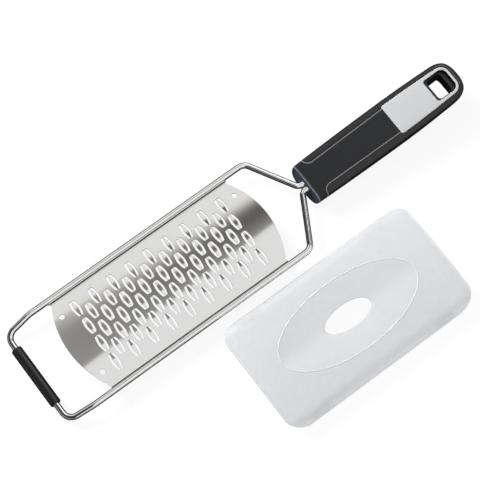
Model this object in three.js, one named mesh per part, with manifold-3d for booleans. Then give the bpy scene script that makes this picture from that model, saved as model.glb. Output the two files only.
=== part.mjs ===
// Hand grater: an arched steel blade in a bent wire frame, a moulded handle and a loose blade guard.
// Millimetres. X runs from the foot to the handle, Y across the blade, Z up from the table.

import * as THREE from 'three';
import { mergeVertices } from 'three/addons/utils/BufferGeometryUtils.js';
import Module from 'manifold-3d';

// Clearance between pieces that touch on the real grater
const FIT_GAP = 0.3;

// Blade: rows of two-way teeth, each a raised bridge between two curved slits
const TEETH_IN_LONG_ROW = 9;
const TOOTH_ROWS = 7;
const TOOTH_LENGTH = 11.4;
const SLIT_WIDTH = 1.2;
const BRIDGE_WIDTH_MIDDLE = 2.9;
const BRIDGE_WIDTH_END = 1.4;
const WEB_ALONG = 1.65;
const WEB_ACROSS = 2.4;
const BRIDGE_RISE = 1.2;
const BRIDGE_INSET = 0.1;
const BRIDGE_ROOT = 0.3;
const BLADE_THICKNESS = 0.8;
const BLADE_SIDE_MARGIN = 12.3;
const BLADE_END_MARGIN = 11.4;
const BLADE_END_BULGE = 8;
const BLADE_FLARE = 2.4;
const BLADE_RISE = 3.6;
const BLADE_EDGE_DROP = 1.3;
const PILOT_HOLE_DIAMETER = 3.2;
const PILOT_HOLE_INSET = 1.2;
const PILOT_HOLE_OUTSET = 0.7;

// Frame: one length of round wire
const WIRE_DIAMETER = 4;
const RAIL_FRONT_RUN = 14;
const FOOT_RUN = 18.5;
const FOOT_TAPER = 2.2;
const FOOT_DROP = 4;
const RAIL_REAR_RUN = 16;
const NECK_RUN = 18.6;
const TANG_GAP = 0.5;
const TANG_LENGTH = 46;
const KINK_BEND = 14;
const FOOT_BEND = 7;
const SHOULDER_BEND = 6.5;
const NECK_BEND = 4;

// Rubber sleeve on the foot of the frame
const SLEEVE_WALL = 1.2;
const SLEEVE_END_MARGIN = 4.2;
const SLEEVE_SHIFT = 1.4;

// Handle
const HANDLE_LENGTH = 122.5;
const HANDLE_NECK_GAP = 2.3;
const HANDLE_FRONT_WIDTH = 27.9;
const HANDLE_MIDDLE_WIDTH = 29.8;
const HANDLE_REAR_WIDTH = 26.6;
const HANDLE_WIDEST = 68;
const HANDLE_ROOF = 1.6;
const HANDLE_TAIL_RISE = 7.9;
const HANDLE_SHOULDER = 3.4;
const HANDLE_LIFT_START = 61;
const HANDLE_TAIL_LIFT = 9;
const HANDLE_END_ROUND = 13;
const HANDLE_EDGE_ROUND = 4.2;
const HANDLE_FLAT_DEPTH = 0.5;
const NOSE_LEAN = 2.5;
const NOSE_EDGE = 0.6;
const CAP_LENGTH = 1.4;
const CORE_WALL = 1.2;
const CORE_RISE = 3;
const GRIP_START = 8.6;
const GRIP_START_BEND = 5.5;
const GROOVE_WIDTH = 0.5;
const PANEL_FRONT_HALF = 8.6;
const PANEL_REAR_HALF = 10;
const INLAY_LENGTH = 48.7;
const INLAY_THICKNESS = 1;
const INLAY_SIDE_BAND = 3.6;
const INLAY_TAIL_BAND = 4.4;
const INLAY_FRONT_RADIUS = 1.5;
const INLAY_REAR_RADIUS = 6;
const INLAY_COVER = 0.6;
const HOLE_LENGTH = 16.2;
const HOLE_SIDE_RIM = 2;
const HOLE_TAIL_RIM = 1.5;
const HOLE_FRONT_RADIUS = 2.2;
const COLLAR_SIDE_WALL = 1;
const COLLAR_FRONT_WALL = 2.1;
const COLLAR_REAR_WALL = 3.3;
const COLLAR_STEP = 2;

// Blade guard: a springy plastic cover whose hooks grip the rails
const GUARD_LENGTH = 142;
const GUARD_WALL = 1.6;
const GUARD_SIDE_CLEARANCE = 0.5;
const GUARD_CORNER_RADIUS = 11;
const GUARD_CROWN = 2;
const GUARD_TOOTH_CLEARANCE = 1.1;
const HOOK_LENGTH = 13;
const HOOK_REACH = 3;
const HOOK_THICKNESS = 1.4;
const HOOK_INSET = 23;
const DISH_LENGTH = 102;
const DISH_WIDTH = 47;
const DISH_DEPTH = 2.8;
const GUARD_HOLE_LENGTH = 34;
const GUARD_HOLE_WIDTH = 15;

// Where the guard lies beside the grater, from the middle of the blade and from the near rail
const GUARD_SHIFT = 75;
const GUARD_DISTANCE = 7;

// Mesh fineness
const WIRE_SIDES = 12;
const BEND_STEP = Math.PI / 10;
const SECTION_POINTS = 36;
const HANDLE_RUNS = 9;
const TAIL_STEPS = 8;
const ARC_SEGMENTS = 8;
const SLIT_SEGMENTS = 3;
const BRIDGE_STEPS = 4;
const DISH_SEGMENTS = 40;
const DISH_RINGS = 5;

// How far a cutting body runs past what it cuts
const OVERCUT = 1;

// Powers of the rounded outlines: the handle's flat top, its round underside and its tail in plan
const TOP_POWER = 4;
const UNDERSIDE_POWER = 2.7;
const TAIL_POWER = 2.6;
const TAIL_SHARE = 0.998;

const wasm = await Module();
wasm.setup();

// Closed bodies and how they join

function solidOf(geometry) {
  const bare = geometry.clone();
  bare.deleteAttribute('normal');
  bare.deleteAttribute('uv');
  const merged = mergeVertices(bare);
  return new wasm.Manifold(new wasm.Mesh({
    numProp: 3,
    vertProperties: new Float32Array(merged.attributes.position.array),
    triVerts: new Uint32Array(merged.index.array),
  }));
}

function geometryOf(solid) {
  const mesh = solid.getMesh();
  const geometry = new THREE.BufferGeometry();
  geometry.setAttribute('position', new THREE.BufferAttribute(mesh.vertProperties, 3));
  geometry.setIndex(new THREE.BufferAttribute(mesh.triVerts, 1));
  geometry.computeVertexNormals();
  return geometry;
}

// A box between two corners
function block(low, high) {
  const size = new THREE.Vector3().subVectors(high, low);
  const middle = new THREE.Vector3().addVectors(high, low).multiplyScalar(0.5);
  const geometry = new THREE.BoxGeometry(size.x, size.y, size.z);
  return solidOf(geometry.translate(middle.x, middle.y, middle.z));
}

// A plan outline raised from one height to another
function prism(shape, bottom, top) {
  const options = { depth: top - bottom, bevelEnabled: false, curveSegments: ARC_SEGMENTS };
  return solidOf(new THREE.ExtrudeGeometry(shape, options).translate(0, 0, bottom));
}

// A section drawn in Y and Z, carried along X
function bar(shape, start, end) {
  const options = { depth: end - start, bevelEnabled: false, curveSegments: ARC_SEGMENTS };
  const turn = new THREE.Matrix4().makeBasis(
    new THREE.Vector3(0, 1, 0), new THREE.Vector3(0, 0, 1), new THREE.Vector3(1, 0, 0));
  const geometry = new THREE.ExtrudeGeometry(shape, options).applyMatrix4(turn);
  return solidOf(geometry.translate(start, 0, 0));
}

// A section drawn in X and Z, carried across the whole width
function slab(shape, halfWidth) {
  const options = { depth: 2 * halfWidth, bevelEnabled: false, curveSegments: ARC_SEGMENTS };
  const turn = new THREE.Matrix4().makeBasis(
    new THREE.Vector3(1, 0, 0), new THREE.Vector3(0, 0, 1), new THREE.Vector3(0, -1, 0));
  const geometry = new THREE.ExtrudeGeometry(shape, options).applyMatrix4(turn);
  return solidOf(geometry.translate(0, halfWidth, 0));
}

// Rings of points skinned into a closed body, each ring turning the same way about the direction of travel
function loft(rings) {
  const count = rings[0].length;
  const faces = [];
  for (let row = 0; row < rings.length - 1; row += 1) {
    for (let k = 0; k < count; k += 1) {
      const a = row * count + k;
      const b = row * count + (k + 1) % count;
      faces.push(a, b, b + count, a, b + count, a + count);
    }
  }
  const last = (rings.length - 1) * count;
  for (let k = 1; k < count - 1; k += 1) {
    faces.push(0, k + 1, k);
    faces.push(last, last + k, last + k + 1);
  }
  const geometry = new THREE.BufferGeometry().setFromPoints(rings.flat());
  geometry.setIndex(faces);
  return geometry;
}

// An oblong plan outline with its own corner radius at each end
function oblong(front, rear, halfWidth, frontRadius, rearRadius) {
  const largest = Math.min(halfWidth, (rear - front) / 2) - FIT_GAP / 2;
  const a = Math.min(frontRadius, largest);
  const b = Math.min(rearRadius, largest);
  const shape = new THREE.Shape();
  shape.absarc(front + a, a - halfWidth, a, Math.PI, 1.5 * Math.PI);
  shape.absarc(rear - b, b - halfWidth, b, -0.5 * Math.PI, 0);
  shape.absarc(rear - b, halfWidth - b, b, 0, 0.5 * Math.PI);
  shape.absarc(front + a, halfWidth - a, a, 0.5 * Math.PI, Math.PI);
  return shape;
}

function circle(y, z, radius) {
  const shape = new THREE.Shape();
  shape.absarc(y, z, radius, 0, 2 * Math.PI);
  return shape;
}

// Places shared by the pieces, with the blade's middle at X = 0

const wireRadius = WIRE_DIAMETER / 2;
const wireBore = wireRadius + FIT_GAP;
const sleeveRadius = wireBore + SLEEVE_WALL;
const footZ = sleeveRadius;
const railZ = footZ + FOOT_DROP;
const rowPitch = (TOOTH_LENGTH + WEB_ACROSS) / 2;
const toothPitch = 2 * (BRIDGE_WIDTH_MIDDLE + 2 * SLIT_WIDTH + WEB_ALONG);
const outerRow = (TOOTH_ROWS - 1) / 2 * rowPitch;
const bladeHalfWidth = outerRow + BLADE_SIDE_MARGIN;
const bladeCorner = (TEETH_IN_LONG_ROW - 1) / 2 * toothPitch + BLADE_END_MARGIN;
const bladeEdgeZ = railZ - BLADE_EDGE_DROP;
const railY = bladeHalfWidth + Math.sqrt(wireBore ** 2 - BLADE_EDGE_DROP ** 2);
const footHalf = railY - FOOT_TAPER;
const kinkX = -bladeCorner - RAIL_FRONT_RUN;
const footX = kinkX - FOOT_RUN;
const shoulderX = bladeCorner + RAIL_REAR_RUN;
const neckX = shoulderX + NECK_RUN;
const handleFront = neckX + HANDLE_NECK_GAP;
const handleRear = handleFront + HANDLE_LENGTH;
const tangEnd = handleFront + TANG_LENGTH;
const tangY = (WIRE_DIAMETER + TANG_GAP) / 2;

// Frame wire

// Straight runs and round bends through a list of corners, with points only where the wire turns
class BentWire extends THREE.Curve {
  constructor(corners) {
    super();
    this.stations = [corners[0].at];
    corners.slice(1, -1).forEach(({ at, bend }, i) => {
      const inward = new THREE.Vector3().subVectors(corners[i].at, at).normalize();
      const outward = new THREE.Vector3().subVectors(corners[i + 2].at, at).normalize();
      const half = inward.angleTo(outward) / 2;
      const turn = Math.PI - 2 * half;
      const toCentre = new THREE.Vector3().addVectors(inward, outward).normalize();
      const centre = at.clone().addScaledVector(toCentre, bend / Math.sin(half));
      const start = at.clone().addScaledVector(inward, bend / Math.tan(half)).sub(centre);
      const axis = new THREE.Vector3().crossVectors(outward, inward).normalize();
      const steps = Math.ceil(turn / BEND_STEP);
      for (let k = 0; k <= steps; k += 1) {
        this.stations.push(start.clone().applyAxisAngle(axis, turn * k / steps).add(centre));
      }
    });
    this.stations.push(corners[corners.length - 1].at);
    this.steps = this.stations.length - 1;
  }

  getPointAt(u) {
    return this.stations[Math.round(u * this.steps)].clone();
  }

  getTangentAt(u) {
    const i = Math.round(u * this.steps);
    const before = this.stations[Math.max(i - 1, 0)];
    const after = this.stations[Math.min(i + 1, this.steps)];
    return new THREE.Vector3().subVectors(after, before).normalize();
  }
}

function frameWire() {
  const side = (sign) => [
    { at: new THREE.Vector3(tangEnd, sign * tangY, railZ) },
    { at: new THREE.Vector3(neckX, sign * tangY, railZ), bend: NECK_BEND },
    { at: new THREE.Vector3(shoulderX, sign * railY, railZ), bend: SHOULDER_BEND },
    { at: new THREE.Vector3(kinkX, sign * railY, railZ), bend: KINK_BEND },
    { at: new THREE.Vector3(footX, sign * footHalf, footZ), bend: FOOT_BEND },
  ];
  const path = new BentWire([...side(1), ...side(-1).reverse()]);
  const section = new THREE.Shape();
  for (let k = 0; k < WIRE_SIDES; k += 1) {
    const angle = 2 * Math.PI * k / WIRE_SIDES;
    const point = [wireRadius * Math.cos(angle), wireRadius * Math.sin(angle)];
    if (k === 0) section.moveTo(...point);
    else section.lineTo(...point);
  }
  return new THREE.ExtrudeGeometry(section, { steps: path.steps, extrudePath: path, bevelEnabled: false });
}

// A tube on the straight part of the foot, with rounded ends
function frontSleeve() {
  const half = footHalf - FOOT_BEND - SLEEVE_END_MARGIN;
  const outline = new THREE.Path();
  outline.moveTo(wireBore, -half);
  outline.absarc(wireBore, SLEEVE_WALL - half, SLEEVE_WALL, -0.5 * Math.PI, 0);
  outline.absarc(wireBore, half - SLEEVE_WALL, SLEEVE_WALL, 0, 0.5 * Math.PI);
  outline.closePath();
  const geometry = new THREE.LatheGeometry(outline.getPoints(ARC_SEGMENTS / 2), 2 * WIRE_SIDES);
  return geometryOf(solidOf(geometry)).translate(footX, SLEEVE_SHIFT, footZ);
}

// Blade

const archRadius = (bladeHalfWidth ** 2 + BLADE_RISE ** 2) / (2 * BLADE_RISE);
const archCentreZ = bladeEdgeZ + BLADE_RISE - archRadius;

function bladeTop(y) {
  return archCentreZ + Math.sqrt(archRadius ** 2 - y ** 2);
}

// Both ends bulge outward and flare again where they meet the rails
function bladePlan() {
  const flareY = bladeHalfWidth - BLADE_FLARE;
  const chord = bladeCorner;
  const radius = (flareY ** 2 + BLADE_END_BULGE ** 2) / (2 * BLADE_END_BULGE);
  const sweep = Math.asin(flareY / radius);
  const centre = chord + BLADE_END_BULGE - radius;
  const shape = new THREE.Shape();
  shape.moveTo(-chord - BLADE_FLARE / 2, -bladeHalfWidth);
  shape.lineTo(chord + BLADE_FLARE / 2, -bladeHalfWidth);
  shape.quadraticCurveTo(chord - BLADE_FLARE / 4, -bladeHalfWidth, chord, -flareY);
  shape.absarc(centre, 0, radius, -sweep, sweep);
  shape.quadraticCurveTo(chord - BLADE_FLARE / 4, bladeHalfWidth, chord + BLADE_FLARE / 2, bladeHalfWidth);
  shape.lineTo(-chord - BLADE_FLARE / 2, bladeHalfWidth);
  shape.quadraticCurveTo(BLADE_FLARE / 4 - chord, bladeHalfWidth, -chord, flareY);
  shape.absarc(-centre, 0, radius, Math.PI - sweep, Math.PI + sweep);
  shape.quadraticCurveTo(BLADE_FLARE / 4 - chord, -bladeHalfWidth, -chord - BLADE_FLARE / 2, -bladeHalfWidth);
  return shape;
}

function archSection() {
  const sweep = Math.asin(bladeHalfWidth / archRadius);
  const right = 0.5 * Math.PI - sweep;
  const left = 0.5 * Math.PI + sweep;
  const shape = new THREE.Shape();
  shape.absarc(0, archCentreZ, archRadius, right, left);
  shape.absarc(0, archCentreZ, archRadius - BLADE_THICKNESS, left, right, true);
  return shape;
}

function toothPlaces() {
  const places = [];
  for (let row = 0; row < TOOTH_ROWS; row += 1) {
    const count = TEETH_IN_LONG_ROW - row % 2;
    for (let k = 0; k < count; k += 1) {
      places.push({ x: (k - (count - 1) / 2) * toothPitch, y: row * rowPitch - outerRow });
    }
  }
  return places;
}

// Half the width of a bridge at a share s of the way from its middle to its end
function bridgeHalf(s) {
  return (BRIDGE_WIDTH_END + (BRIDGE_WIDTH_MIDDLE - BRIDGE_WIDTH_END) * Math.cos(0.5 * Math.PI * s)) / 2;
}

function toothOpening({ x, y }) {
  const half = TOOTH_LENGTH / 2;
  const end = bridgeHalf(1) + SLIT_WIDTH;
  const middle = 2 * bridgeHalf(0) + SLIT_WIDTH - bridgeHalf(1);
  const shape = new THREE.Shape();
  shape.moveTo(x - end, y - half);
  shape.lineTo(x + end, y - half);
  shape.quadraticCurveTo(x + middle, y, x + end, y + half);
  shape.lineTo(x - end, y + half);
  shape.quadraticCurveTo(x - middle, y, x - end, y - half);
  const options = { depth: 2 * railZ, bevelEnabled: false, curveSegments: SLIT_SEGMENTS };
  return solidOf(new THREE.ExtrudeGeometry(shape, options));
}

// A strip that springs out of the blade at both ends of its tooth and arches over the opening
function toothBridge({ x, y }) {
  const reach = TOOTH_LENGTH / 2 + BRIDGE_ROOT;
  const rings = [];
  for (let k = 0; k <= BRIDGE_STEPS; k += 1) {
    const s = 2 * k / BRIDGE_STEPS - 1;
    const across = y + s * reach;
    const lift = BRIDGE_RISE * (1 - s * s);
    const top = bladeTop(across) - BRIDGE_INSET + lift;
    const bottom = bladeTop(across) - BLADE_THICKNESS + BRIDGE_INSET + lift;
    const half = bridgeHalf(Math.abs(s));
    rings.push([
      new THREE.Vector3(x - half, across, top),
      new THREE.Vector3(x + half, across, top),
      new THREE.Vector3(x + half, across, bottom),
      new THREE.Vector3(x - half, across, bottom),
    ]);
  }
  return solidOf(loft(rings));
}

function gratingBlade() {
  const reach = bladeCorner + BLADE_END_BULGE + OVERCUT;
  let blade = bar(archSection(), -reach, reach).intersect(prism(bladePlan(), 0, 2 * railZ));
  const pilotX = bladeCorner - PILOT_HOLE_INSET;
  const pilotY = outerRow + PILOT_HOLE_OUTSET;
  [[-pilotX, -pilotY], [-pilotX, pilotY], [pilotX, pilotY]].forEach(([x, y]) => {
    blade = blade.subtract(prism(circle(x, y, PILOT_HOLE_DIAMETER / 2), 0, 2 * railZ));
  });
  toothPlaces().forEach((place) => {
    blade = blade.subtract(toothOpening(place));
  });
  toothPlaces().forEach((place) => {
    blade = blade.add(toothBridge(place));
  });
  return geometryOf(blade);
}

// Handle

const gripFront = handleFront + GRIP_START;
const widestX = handleFront + HANDLE_WIDEST;
const liftX = handleFront + HANDLE_LIFT_START;
const inlayRear = handleRear - INLAY_TAIL_BAND;
const inlayFront = inlayRear - INLAY_LENGTH;
const panelRear = inlayRear - INLAY_COVER;
const holeRear = inlayRear - HOLE_TAIL_RIM;
const holeFront = holeRear - HOLE_LENGTH;
const holeHalf = handleHalf(inlayRear) - INLAY_SIDE_BAND - HOLE_SIDE_RIM;
const coreHalfWidth = tangY + wireBore + CORE_WALL;
const coreHalfHeight = wireBore + CORE_WALL;
const handleFrontTop = railZ + coreHalfHeight + HANDLE_ROOF;
const wide = Math.max(HANDLE_FRONT_WIDTH, HANDLE_MIDDLE_WIDTH, HANDLE_REAR_WIDTH);
const tall = handleFrontTop + HANDLE_TAIL_RISE + OVERCUT;

// Half the width of the handle, which bulges between its nose and its tail
function handleHalf(x) {
  const end = x < widestX ? HANDLE_FRONT_WIDTH : HANDLE_REAR_WIDTH;
  const run = x < widestX ? HANDLE_WIDEST : HANDLE_LENGTH - HANDLE_WIDEST;
  return (HANDLE_MIDDLE_WIDTH - (HANDLE_MIDDLE_WIDTH - end) * ((x - widestX) / run) ** 2) / 2;
}

function handleTop(x) {
  return handleFrontTop + HANDLE_TAIL_RISE * (x - handleFront) / HANDLE_LENGTH;
}

// The underside lifts off the table towards the tail
function handleUnderside(x) {
  const share = Math.max(x - liftX, 0) / (handleRear - liftX);
  return HANDLE_TAIL_LIFT * share ** 2;
}

// How far the leaning nose stands behind its own foot at a height
function noseLean(z) {
  return NOSE_LEAN * z / handleFrontTop;
}

// A flat-topped, round-bottomed section of the handle
function handleRing(x, inset, widthShare) {
  const half = (handleHalf(x) - inset) * widthShare;
  const top = handleTop(x) - inset;
  const bottom = handleUnderside(x) - HANDLE_FLAT_DEPTH + inset;
  const height = handleTop(x) - handleUnderside(x) + HANDLE_FLAT_DEPTH;
  const waist = top - (top - bottom) * HANDLE_SHOULDER / height;
  const ring = [];
  for (let k = 0; k < SECTION_POINTS; k += 1) {
    const angle = 2 * Math.PI * (k + 0.5) / SECTION_POINTS;
    const upper = Math.sin(angle) > 0;
    const power = 2 / (upper ? TOP_POWER : UNDERSIDE_POWER);
    const reach = upper ? top - waist : bottom - waist;
    const y = half * Math.sign(Math.cos(angle)) * Math.abs(Math.cos(angle)) ** power;
    const z = waist + reach * Math.abs(Math.sin(angle)) ** power;
    ring.push(new THREE.Vector3(x, y, z));
  }
  return ring;
}

// The whole outside of the handle, with a leaning nose, a round tail and a flat to lie on
function handleBody() {
  const leaning = (ring) => ring.map((p) => p.clone().setX(p.x + noseLean(p.z)));
  const rings = [
    leaning(handleRing(handleFront, NOSE_EDGE, 1)),
    leaning(handleRing(handleFront + NOSE_EDGE, 0, 1)),
  ];
  const tail = handleRear - HANDLE_END_ROUND;
  for (let k = 0; k <= HANDLE_RUNS; k += 1) {
    rings.push(handleRing(gripFront + (tail - gripFront) * k / HANDLE_RUNS, 0, 1));
  }
  for (let k = 1; k <= TAIL_STEPS; k += 1) {
    const share = TAIL_SHARE * Math.sin(0.5 * Math.PI * k / TAIL_STEPS);
    const x = tail + HANDLE_END_ROUND * share;
    const left = Math.max(HANDLE_EDGE_ROUND - (handleRear - x), 0);
    const inset = HANDLE_EDGE_ROUND - Math.sqrt(HANDLE_EDGE_ROUND ** 2 - left ** 2);
    rings.push(handleRing(x, inset, (1 - share ** TAIL_POWER) ** (1 / TAIL_POWER)));
  }
  const table = block(new THREE.Vector3(handleFront - OVERCUT, -wide, 0),
    new THREE.Vector3(handleRear + OVERCUT, wide, tall));
  return solidOf(loft(rings)).intersect(table);
}

// Plan of the top panel between the grooves, grown outward by an offset
function panelPlan(offset) {
  const start = gripFront + offset;
  const turned = gripFront + GRIP_START_BEND;
  const frontHalf = PANEL_FRONT_HALF + offset;
  const rearHalf = PANEL_REAR_HALF + offset;
  const rear = panelRear + offset;
  const radius = Math.min(INLAY_REAR_RADIUS + offset, rearHalf - FIT_GAP / 2);
  const edge = PANEL_FRONT_HALF + GRIP_START_BEND;
  const shape = new THREE.Shape();
  shape.moveTo(handleFront - OVERCUT, -wide);
  shape.lineTo(start, -wide);
  shape.lineTo(start, -edge);
  shape.quadraticCurveTo(start, -frontHalf, turned, -frontHalf);
  shape.absarc(rear - radius, radius - rearHalf, radius, -0.5 * Math.PI, 0);
  shape.absarc(rear - radius, rearHalf - radius, radius, 0, 0.5 * Math.PI);
  shape.lineTo(turned, frontHalf);
  shape.quadraticCurveTo(start, frontHalf, start, edge);
  shape.lineTo(start, wide);
  shape.lineTo(handleFront - OVERCUT, wide);
  return shape;
}

// Plan of the inlay, a band inside the outline of the handle, grown outward by an offset
function inlayPlan(offset) {
  const front = inlayFront - offset;
  const rear = inlayRear + offset;
  const a = INLAY_FRONT_RADIUS + offset;
  const b = INLAY_REAR_RADIUS + offset;
  const half = (x) => handleHalf(x) - INLAY_SIDE_BAND + offset;
  const side = (sign) => Array.from({ length: ARC_SEGMENTS + 1 }, (_, k) => {
    const x = front + a + (rear - b - front - a) * k / ARC_SEGMENTS;
    return new THREE.Vector2(x, sign * half(x));
  });
  const frontHalf = half(front + a);
  const rearHalf = half(rear - b);
  const shape = new THREE.Shape();
  shape.absarc(front + a, a - frontHalf, a, Math.PI, 1.5 * Math.PI);
  side(-1).slice(1, -1).forEach((p) => shape.lineTo(p.x, p.y));
  shape.absarc(rear - b, b - rearHalf, b, -0.5 * Math.PI, 0);
  shape.absarc(rear - b, rearHalf - b, b, 0, 0.5 * Math.PI);
  side(1).slice(1, -1).reverse().forEach((p) => shape.lineTo(p.x, p.y));
  shape.absarc(front + a, frontHalf - a, a, 0.5 * Math.PI, Math.PI);
  return shape;
}

// Plan of the hanging hole, drawn in by a wall at its front, at its sides and at its rear
function holePlan(frontInset, sideInset, rearInset) {
  return oblong(holeFront + frontInset, holeRear - rearInset, holeHalf - sideInset,
    HOLE_FRONT_RADIUS, INLAY_REAR_RADIUS - HOLE_TAIL_RIM - sideInset);
}

// A bar round both sockets of the wire, which climbs with the handle behind them
function coreBar(gap, end) {
  const half = coreHalfWidth + gap;
  const ringAt = (x, rise) => [
    new THREE.Vector3(x, -half, railZ + rise - coreHalfHeight - gap),
    new THREE.Vector3(x, half, railZ + rise - coreHalfHeight - gap),
    new THREE.Vector3(x, half, railZ + rise + coreHalfHeight + gap),
    new THREE.Vector3(x, -half, railZ + rise + coreHalfHeight + gap),
  ];
  const start = handleFront + CAP_LENGTH;
  return solidOf(loft([ringAt(start, 0), ringAt(tangEnd + CORE_WALL, 0), ringAt(end, CORE_RISE)]));
}

// All that lies less than a depth behind the leaning face of the nose
function noseRoom(depth) {
  const shape = new THREE.Shape();
  shape.moveTo(handleFront - OVERCUT, -OVERCUT);
  shape.lineTo(handleFront + depth + noseLean(-OVERCUT), -OVERCUT);
  shape.lineTo(handleFront + depth + noseLean(tall), tall);
  shape.lineTo(handleFront - OVERCUT, tall);
  return slab(shape, wide);
}

// Hard core: the nose that the wire enters, a bar inside the handle, and the collar of the hanging hole
function handleCore() {
  const collarTop = handleTop(holeFront) - COLLAR_STEP;
  let core = handleBody().intersect(noseRoom(CAP_LENGTH));
  core = core.add(coreBar(0, holeFront + COLLAR_FRONT_WALL / 2));
  core = core.add(handleBody().intersect(prism(holePlan(FIT_GAP, FIT_GAP, FIT_GAP), -OVERCUT, collarTop)));
  core = core.subtract(prism(holePlan(COLLAR_FRONT_WALL, COLLAR_SIDE_WALL, COLLAR_REAR_WALL), -OVERCUT, tall));
  [1, -1].forEach((sign) => {
    const socket = circle(sign * tangY, railZ, wireBore);
    core = core.subtract(bar(socket, handleFront - OVERCUT, tangEnd + FIT_GAP));
  });
  return geometryOf(core);
}

// The room for the inlay: all that lies less than a depth below the handle's top, or above it
function inlaySeat(offset, depth) {
  return prism(inlayPlan(offset), railZ, tall).subtract(handleBody().translate(0, 0, -depth));
}

function handleShell() {
  const shell = handleBody().intersect(prism(panelPlan(0), -OVERCUT, tall))
    .subtract(noseRoom(CAP_LENGTH + FIT_GAP))
    .subtract(coreBar(FIT_GAP, holeFront + OVERCUT))
    .subtract(prism(holePlan(0, 0, 0), -OVERCUT, tall))
    .subtract(inlaySeat(FIT_GAP, INLAY_THICKNESS + FIT_GAP));
  return geometryOf(shell);
}

function handleGrip() {
  const grip = handleBody().subtract(prism(panelPlan(GROOVE_WIDTH), -OVERCUT, tall))
    .subtract(inlaySeat(FIT_GAP, INLAY_THICKNESS + FIT_GAP));
  return geometryOf(grip);
}

function handleInlay() {
  const inlay = handleBody().intersect(inlaySeat(0, INLAY_THICKNESS))
    .subtract(prism(holePlan(0, 0, 0), -OVERCUT, tall));
  return geometryOf(inlay);
}

// Blade guard, built about its own middle with its hooks on the table

const guardHalf = railY + wireRadius + GUARD_SIDE_CLEARANCE + GUARD_WALL;
const guardRailZ = HOOK_THICKNESS + FIT_GAP + wireRadius;
const bladeCrest = BLADE_RISE - BLADE_EDGE_DROP + BRIDGE_RISE;
const crownZ = guardRailZ + bladeCrest + GUARD_TOOTH_CLEARANCE + DISH_DEPTH + GUARD_WALL;
const sideBend = crownZ - GUARD_CROWN - guardRailZ;
const crownHalf = guardHalf - sideBend;
const crownRadius = (crownHalf ** 2 + GUARD_CROWN ** 2) / (2 * GUARD_CROWN);

function guardTop(y) {
  return crownZ - crownRadius + Math.sqrt(crownRadius ** 2 - y ** 2);
}

function guardProfile() {
  const inner = sideBend - GUARD_WALL;
  const sweep = Math.asin(crownHalf / crownRadius);
  const shape = new THREE.Shape();
  shape.moveTo(guardHalf, 0);
  shape.absarc(crownHalf, guardRailZ, sideBend, 0, 0.5 * Math.PI);
  shape.absarc(0, crownZ - crownRadius, crownRadius, 0.5 * Math.PI - sweep, 0.5 * Math.PI + sweep);
  shape.absarc(-crownHalf, guardRailZ, sideBend, 0.5 * Math.PI, Math.PI);
  shape.lineTo(-guardHalf, 0);
  shape.lineTo(GUARD_WALL - guardHalf, 0);
  shape.absarc(-crownHalf, guardRailZ, inner, Math.PI, 0.5 * Math.PI, true);
  shape.absarc(0, crownZ - crownRadius, crownRadius - GUARD_WALL,
    0.5 * Math.PI + sweep, 0.5 * Math.PI - sweep, true);
  shape.absarc(crownHalf, guardRailZ, inner, 0.5 * Math.PI, 0, true);
  shape.lineTo(guardHalf - GUARD_WALL, 0);
  return shape;
}

function oval(length, width) {
  const shape = new THREE.Shape();
  shape.absellipse(0, 0, length / 2, width / 2, 0, 2 * Math.PI);
  return shape;
}

// The oval finger dish with its hole, as rings of points out along its underside and back along its top
function guardDish() {
  const ringAt = (share, side) => {
    const ring = [];
    const length = GUARD_HOLE_LENGTH + (DISH_LENGTH - GUARD_HOLE_LENGTH) * share;
    const width = GUARD_HOLE_WIDTH + (DISH_WIDTH - GUARD_HOLE_WIDTH) * share;
    const half = share < 1 ? GUARD_WALL / 2 : GUARD_WALL / 4;
    for (let k = 0; k < DISH_SEGMENTS; k += 1) {
      const angle = 2 * Math.PI * k / DISH_SEGMENTS;
      const x = length / 2 * Math.cos(angle);
      const y = width / 2 * Math.sin(angle);
      const rim = (2 * x / DISH_LENGTH) ** 2 + (2 * y / DISH_WIDTH) ** 2;
      ring.push(new THREE.Vector3(x, y, guardTop(y) - DISH_DEPTH * (1 - rim) - GUARD_WALL / 2 + side * half));
    }
    return ring;
  };
  const shares = Array.from({ length: DISH_RINGS + 1 }, (_, k) => k / DISH_RINGS);
  const underside = shares.map((share) => ringAt(share, -1));
  const top = shares.map((share) => ringAt(share, 1)).reverse();
  return solidOf(ringLoop([...underside, ...top]));
}

// Rings joined one to the next and the last to the first, as a closed band
function ringLoop(rings) {
  const count = rings[0].length;
  const total = rings.length * count;
  const faces = [];
  for (let row = 0; row < rings.length; row += 1) {
    for (let k = 0; k < count; k += 1) {
      const a = row * count + k;
      const b = row * count + (k + 1) % count;
      const c = (b + count) % total;
      const d = (a + count) % total;
      faces.push(a, b, c, a, c, d);
    }
  }
  const geometry = new THREE.BufferGeometry().setFromPoints(rings.flat());
  geometry.setIndex(faces);
  return geometry;
}

function bladeGuard() {
  const half = GUARD_LENGTH / 2;
  const plan = oblong(-half, half, guardHalf, GUARD_CORNER_RADIUS, GUARD_CORNER_RADIUS);
  let guard = bar(guardProfile(), -half, half).intersect(prism(plan, -OVERCUT, crownZ + OVERCUT));
  const cutOut = oval(DISH_LENGTH - GUARD_WALL, DISH_WIDTH - GUARD_WALL);
  guard = guard.subtract(prism(cutOut, guardRailZ, crownZ + OVERCUT)).add(guardDish());
  [1, -1].forEach((side) => {
    [1, -1].forEach((end) => {
      const outer = side * (guardHalf - GUARD_WALL / 2);
      const tip = side * (guardHalf - GUARD_WALL - HOOK_REACH);
      const middle = end * (half - HOOK_INSET);
      guard = guard.add(block(
        new THREE.Vector3(middle - HOOK_LENGTH / 2, Math.min(outer, tip), 0),
        new THREE.Vector3(middle + HOOK_LENGTH / 2, Math.max(outer, tip), HOOK_THICKNESS)));
    });
  });
  return geometryOf(guard);
}

// Assembly

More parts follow.
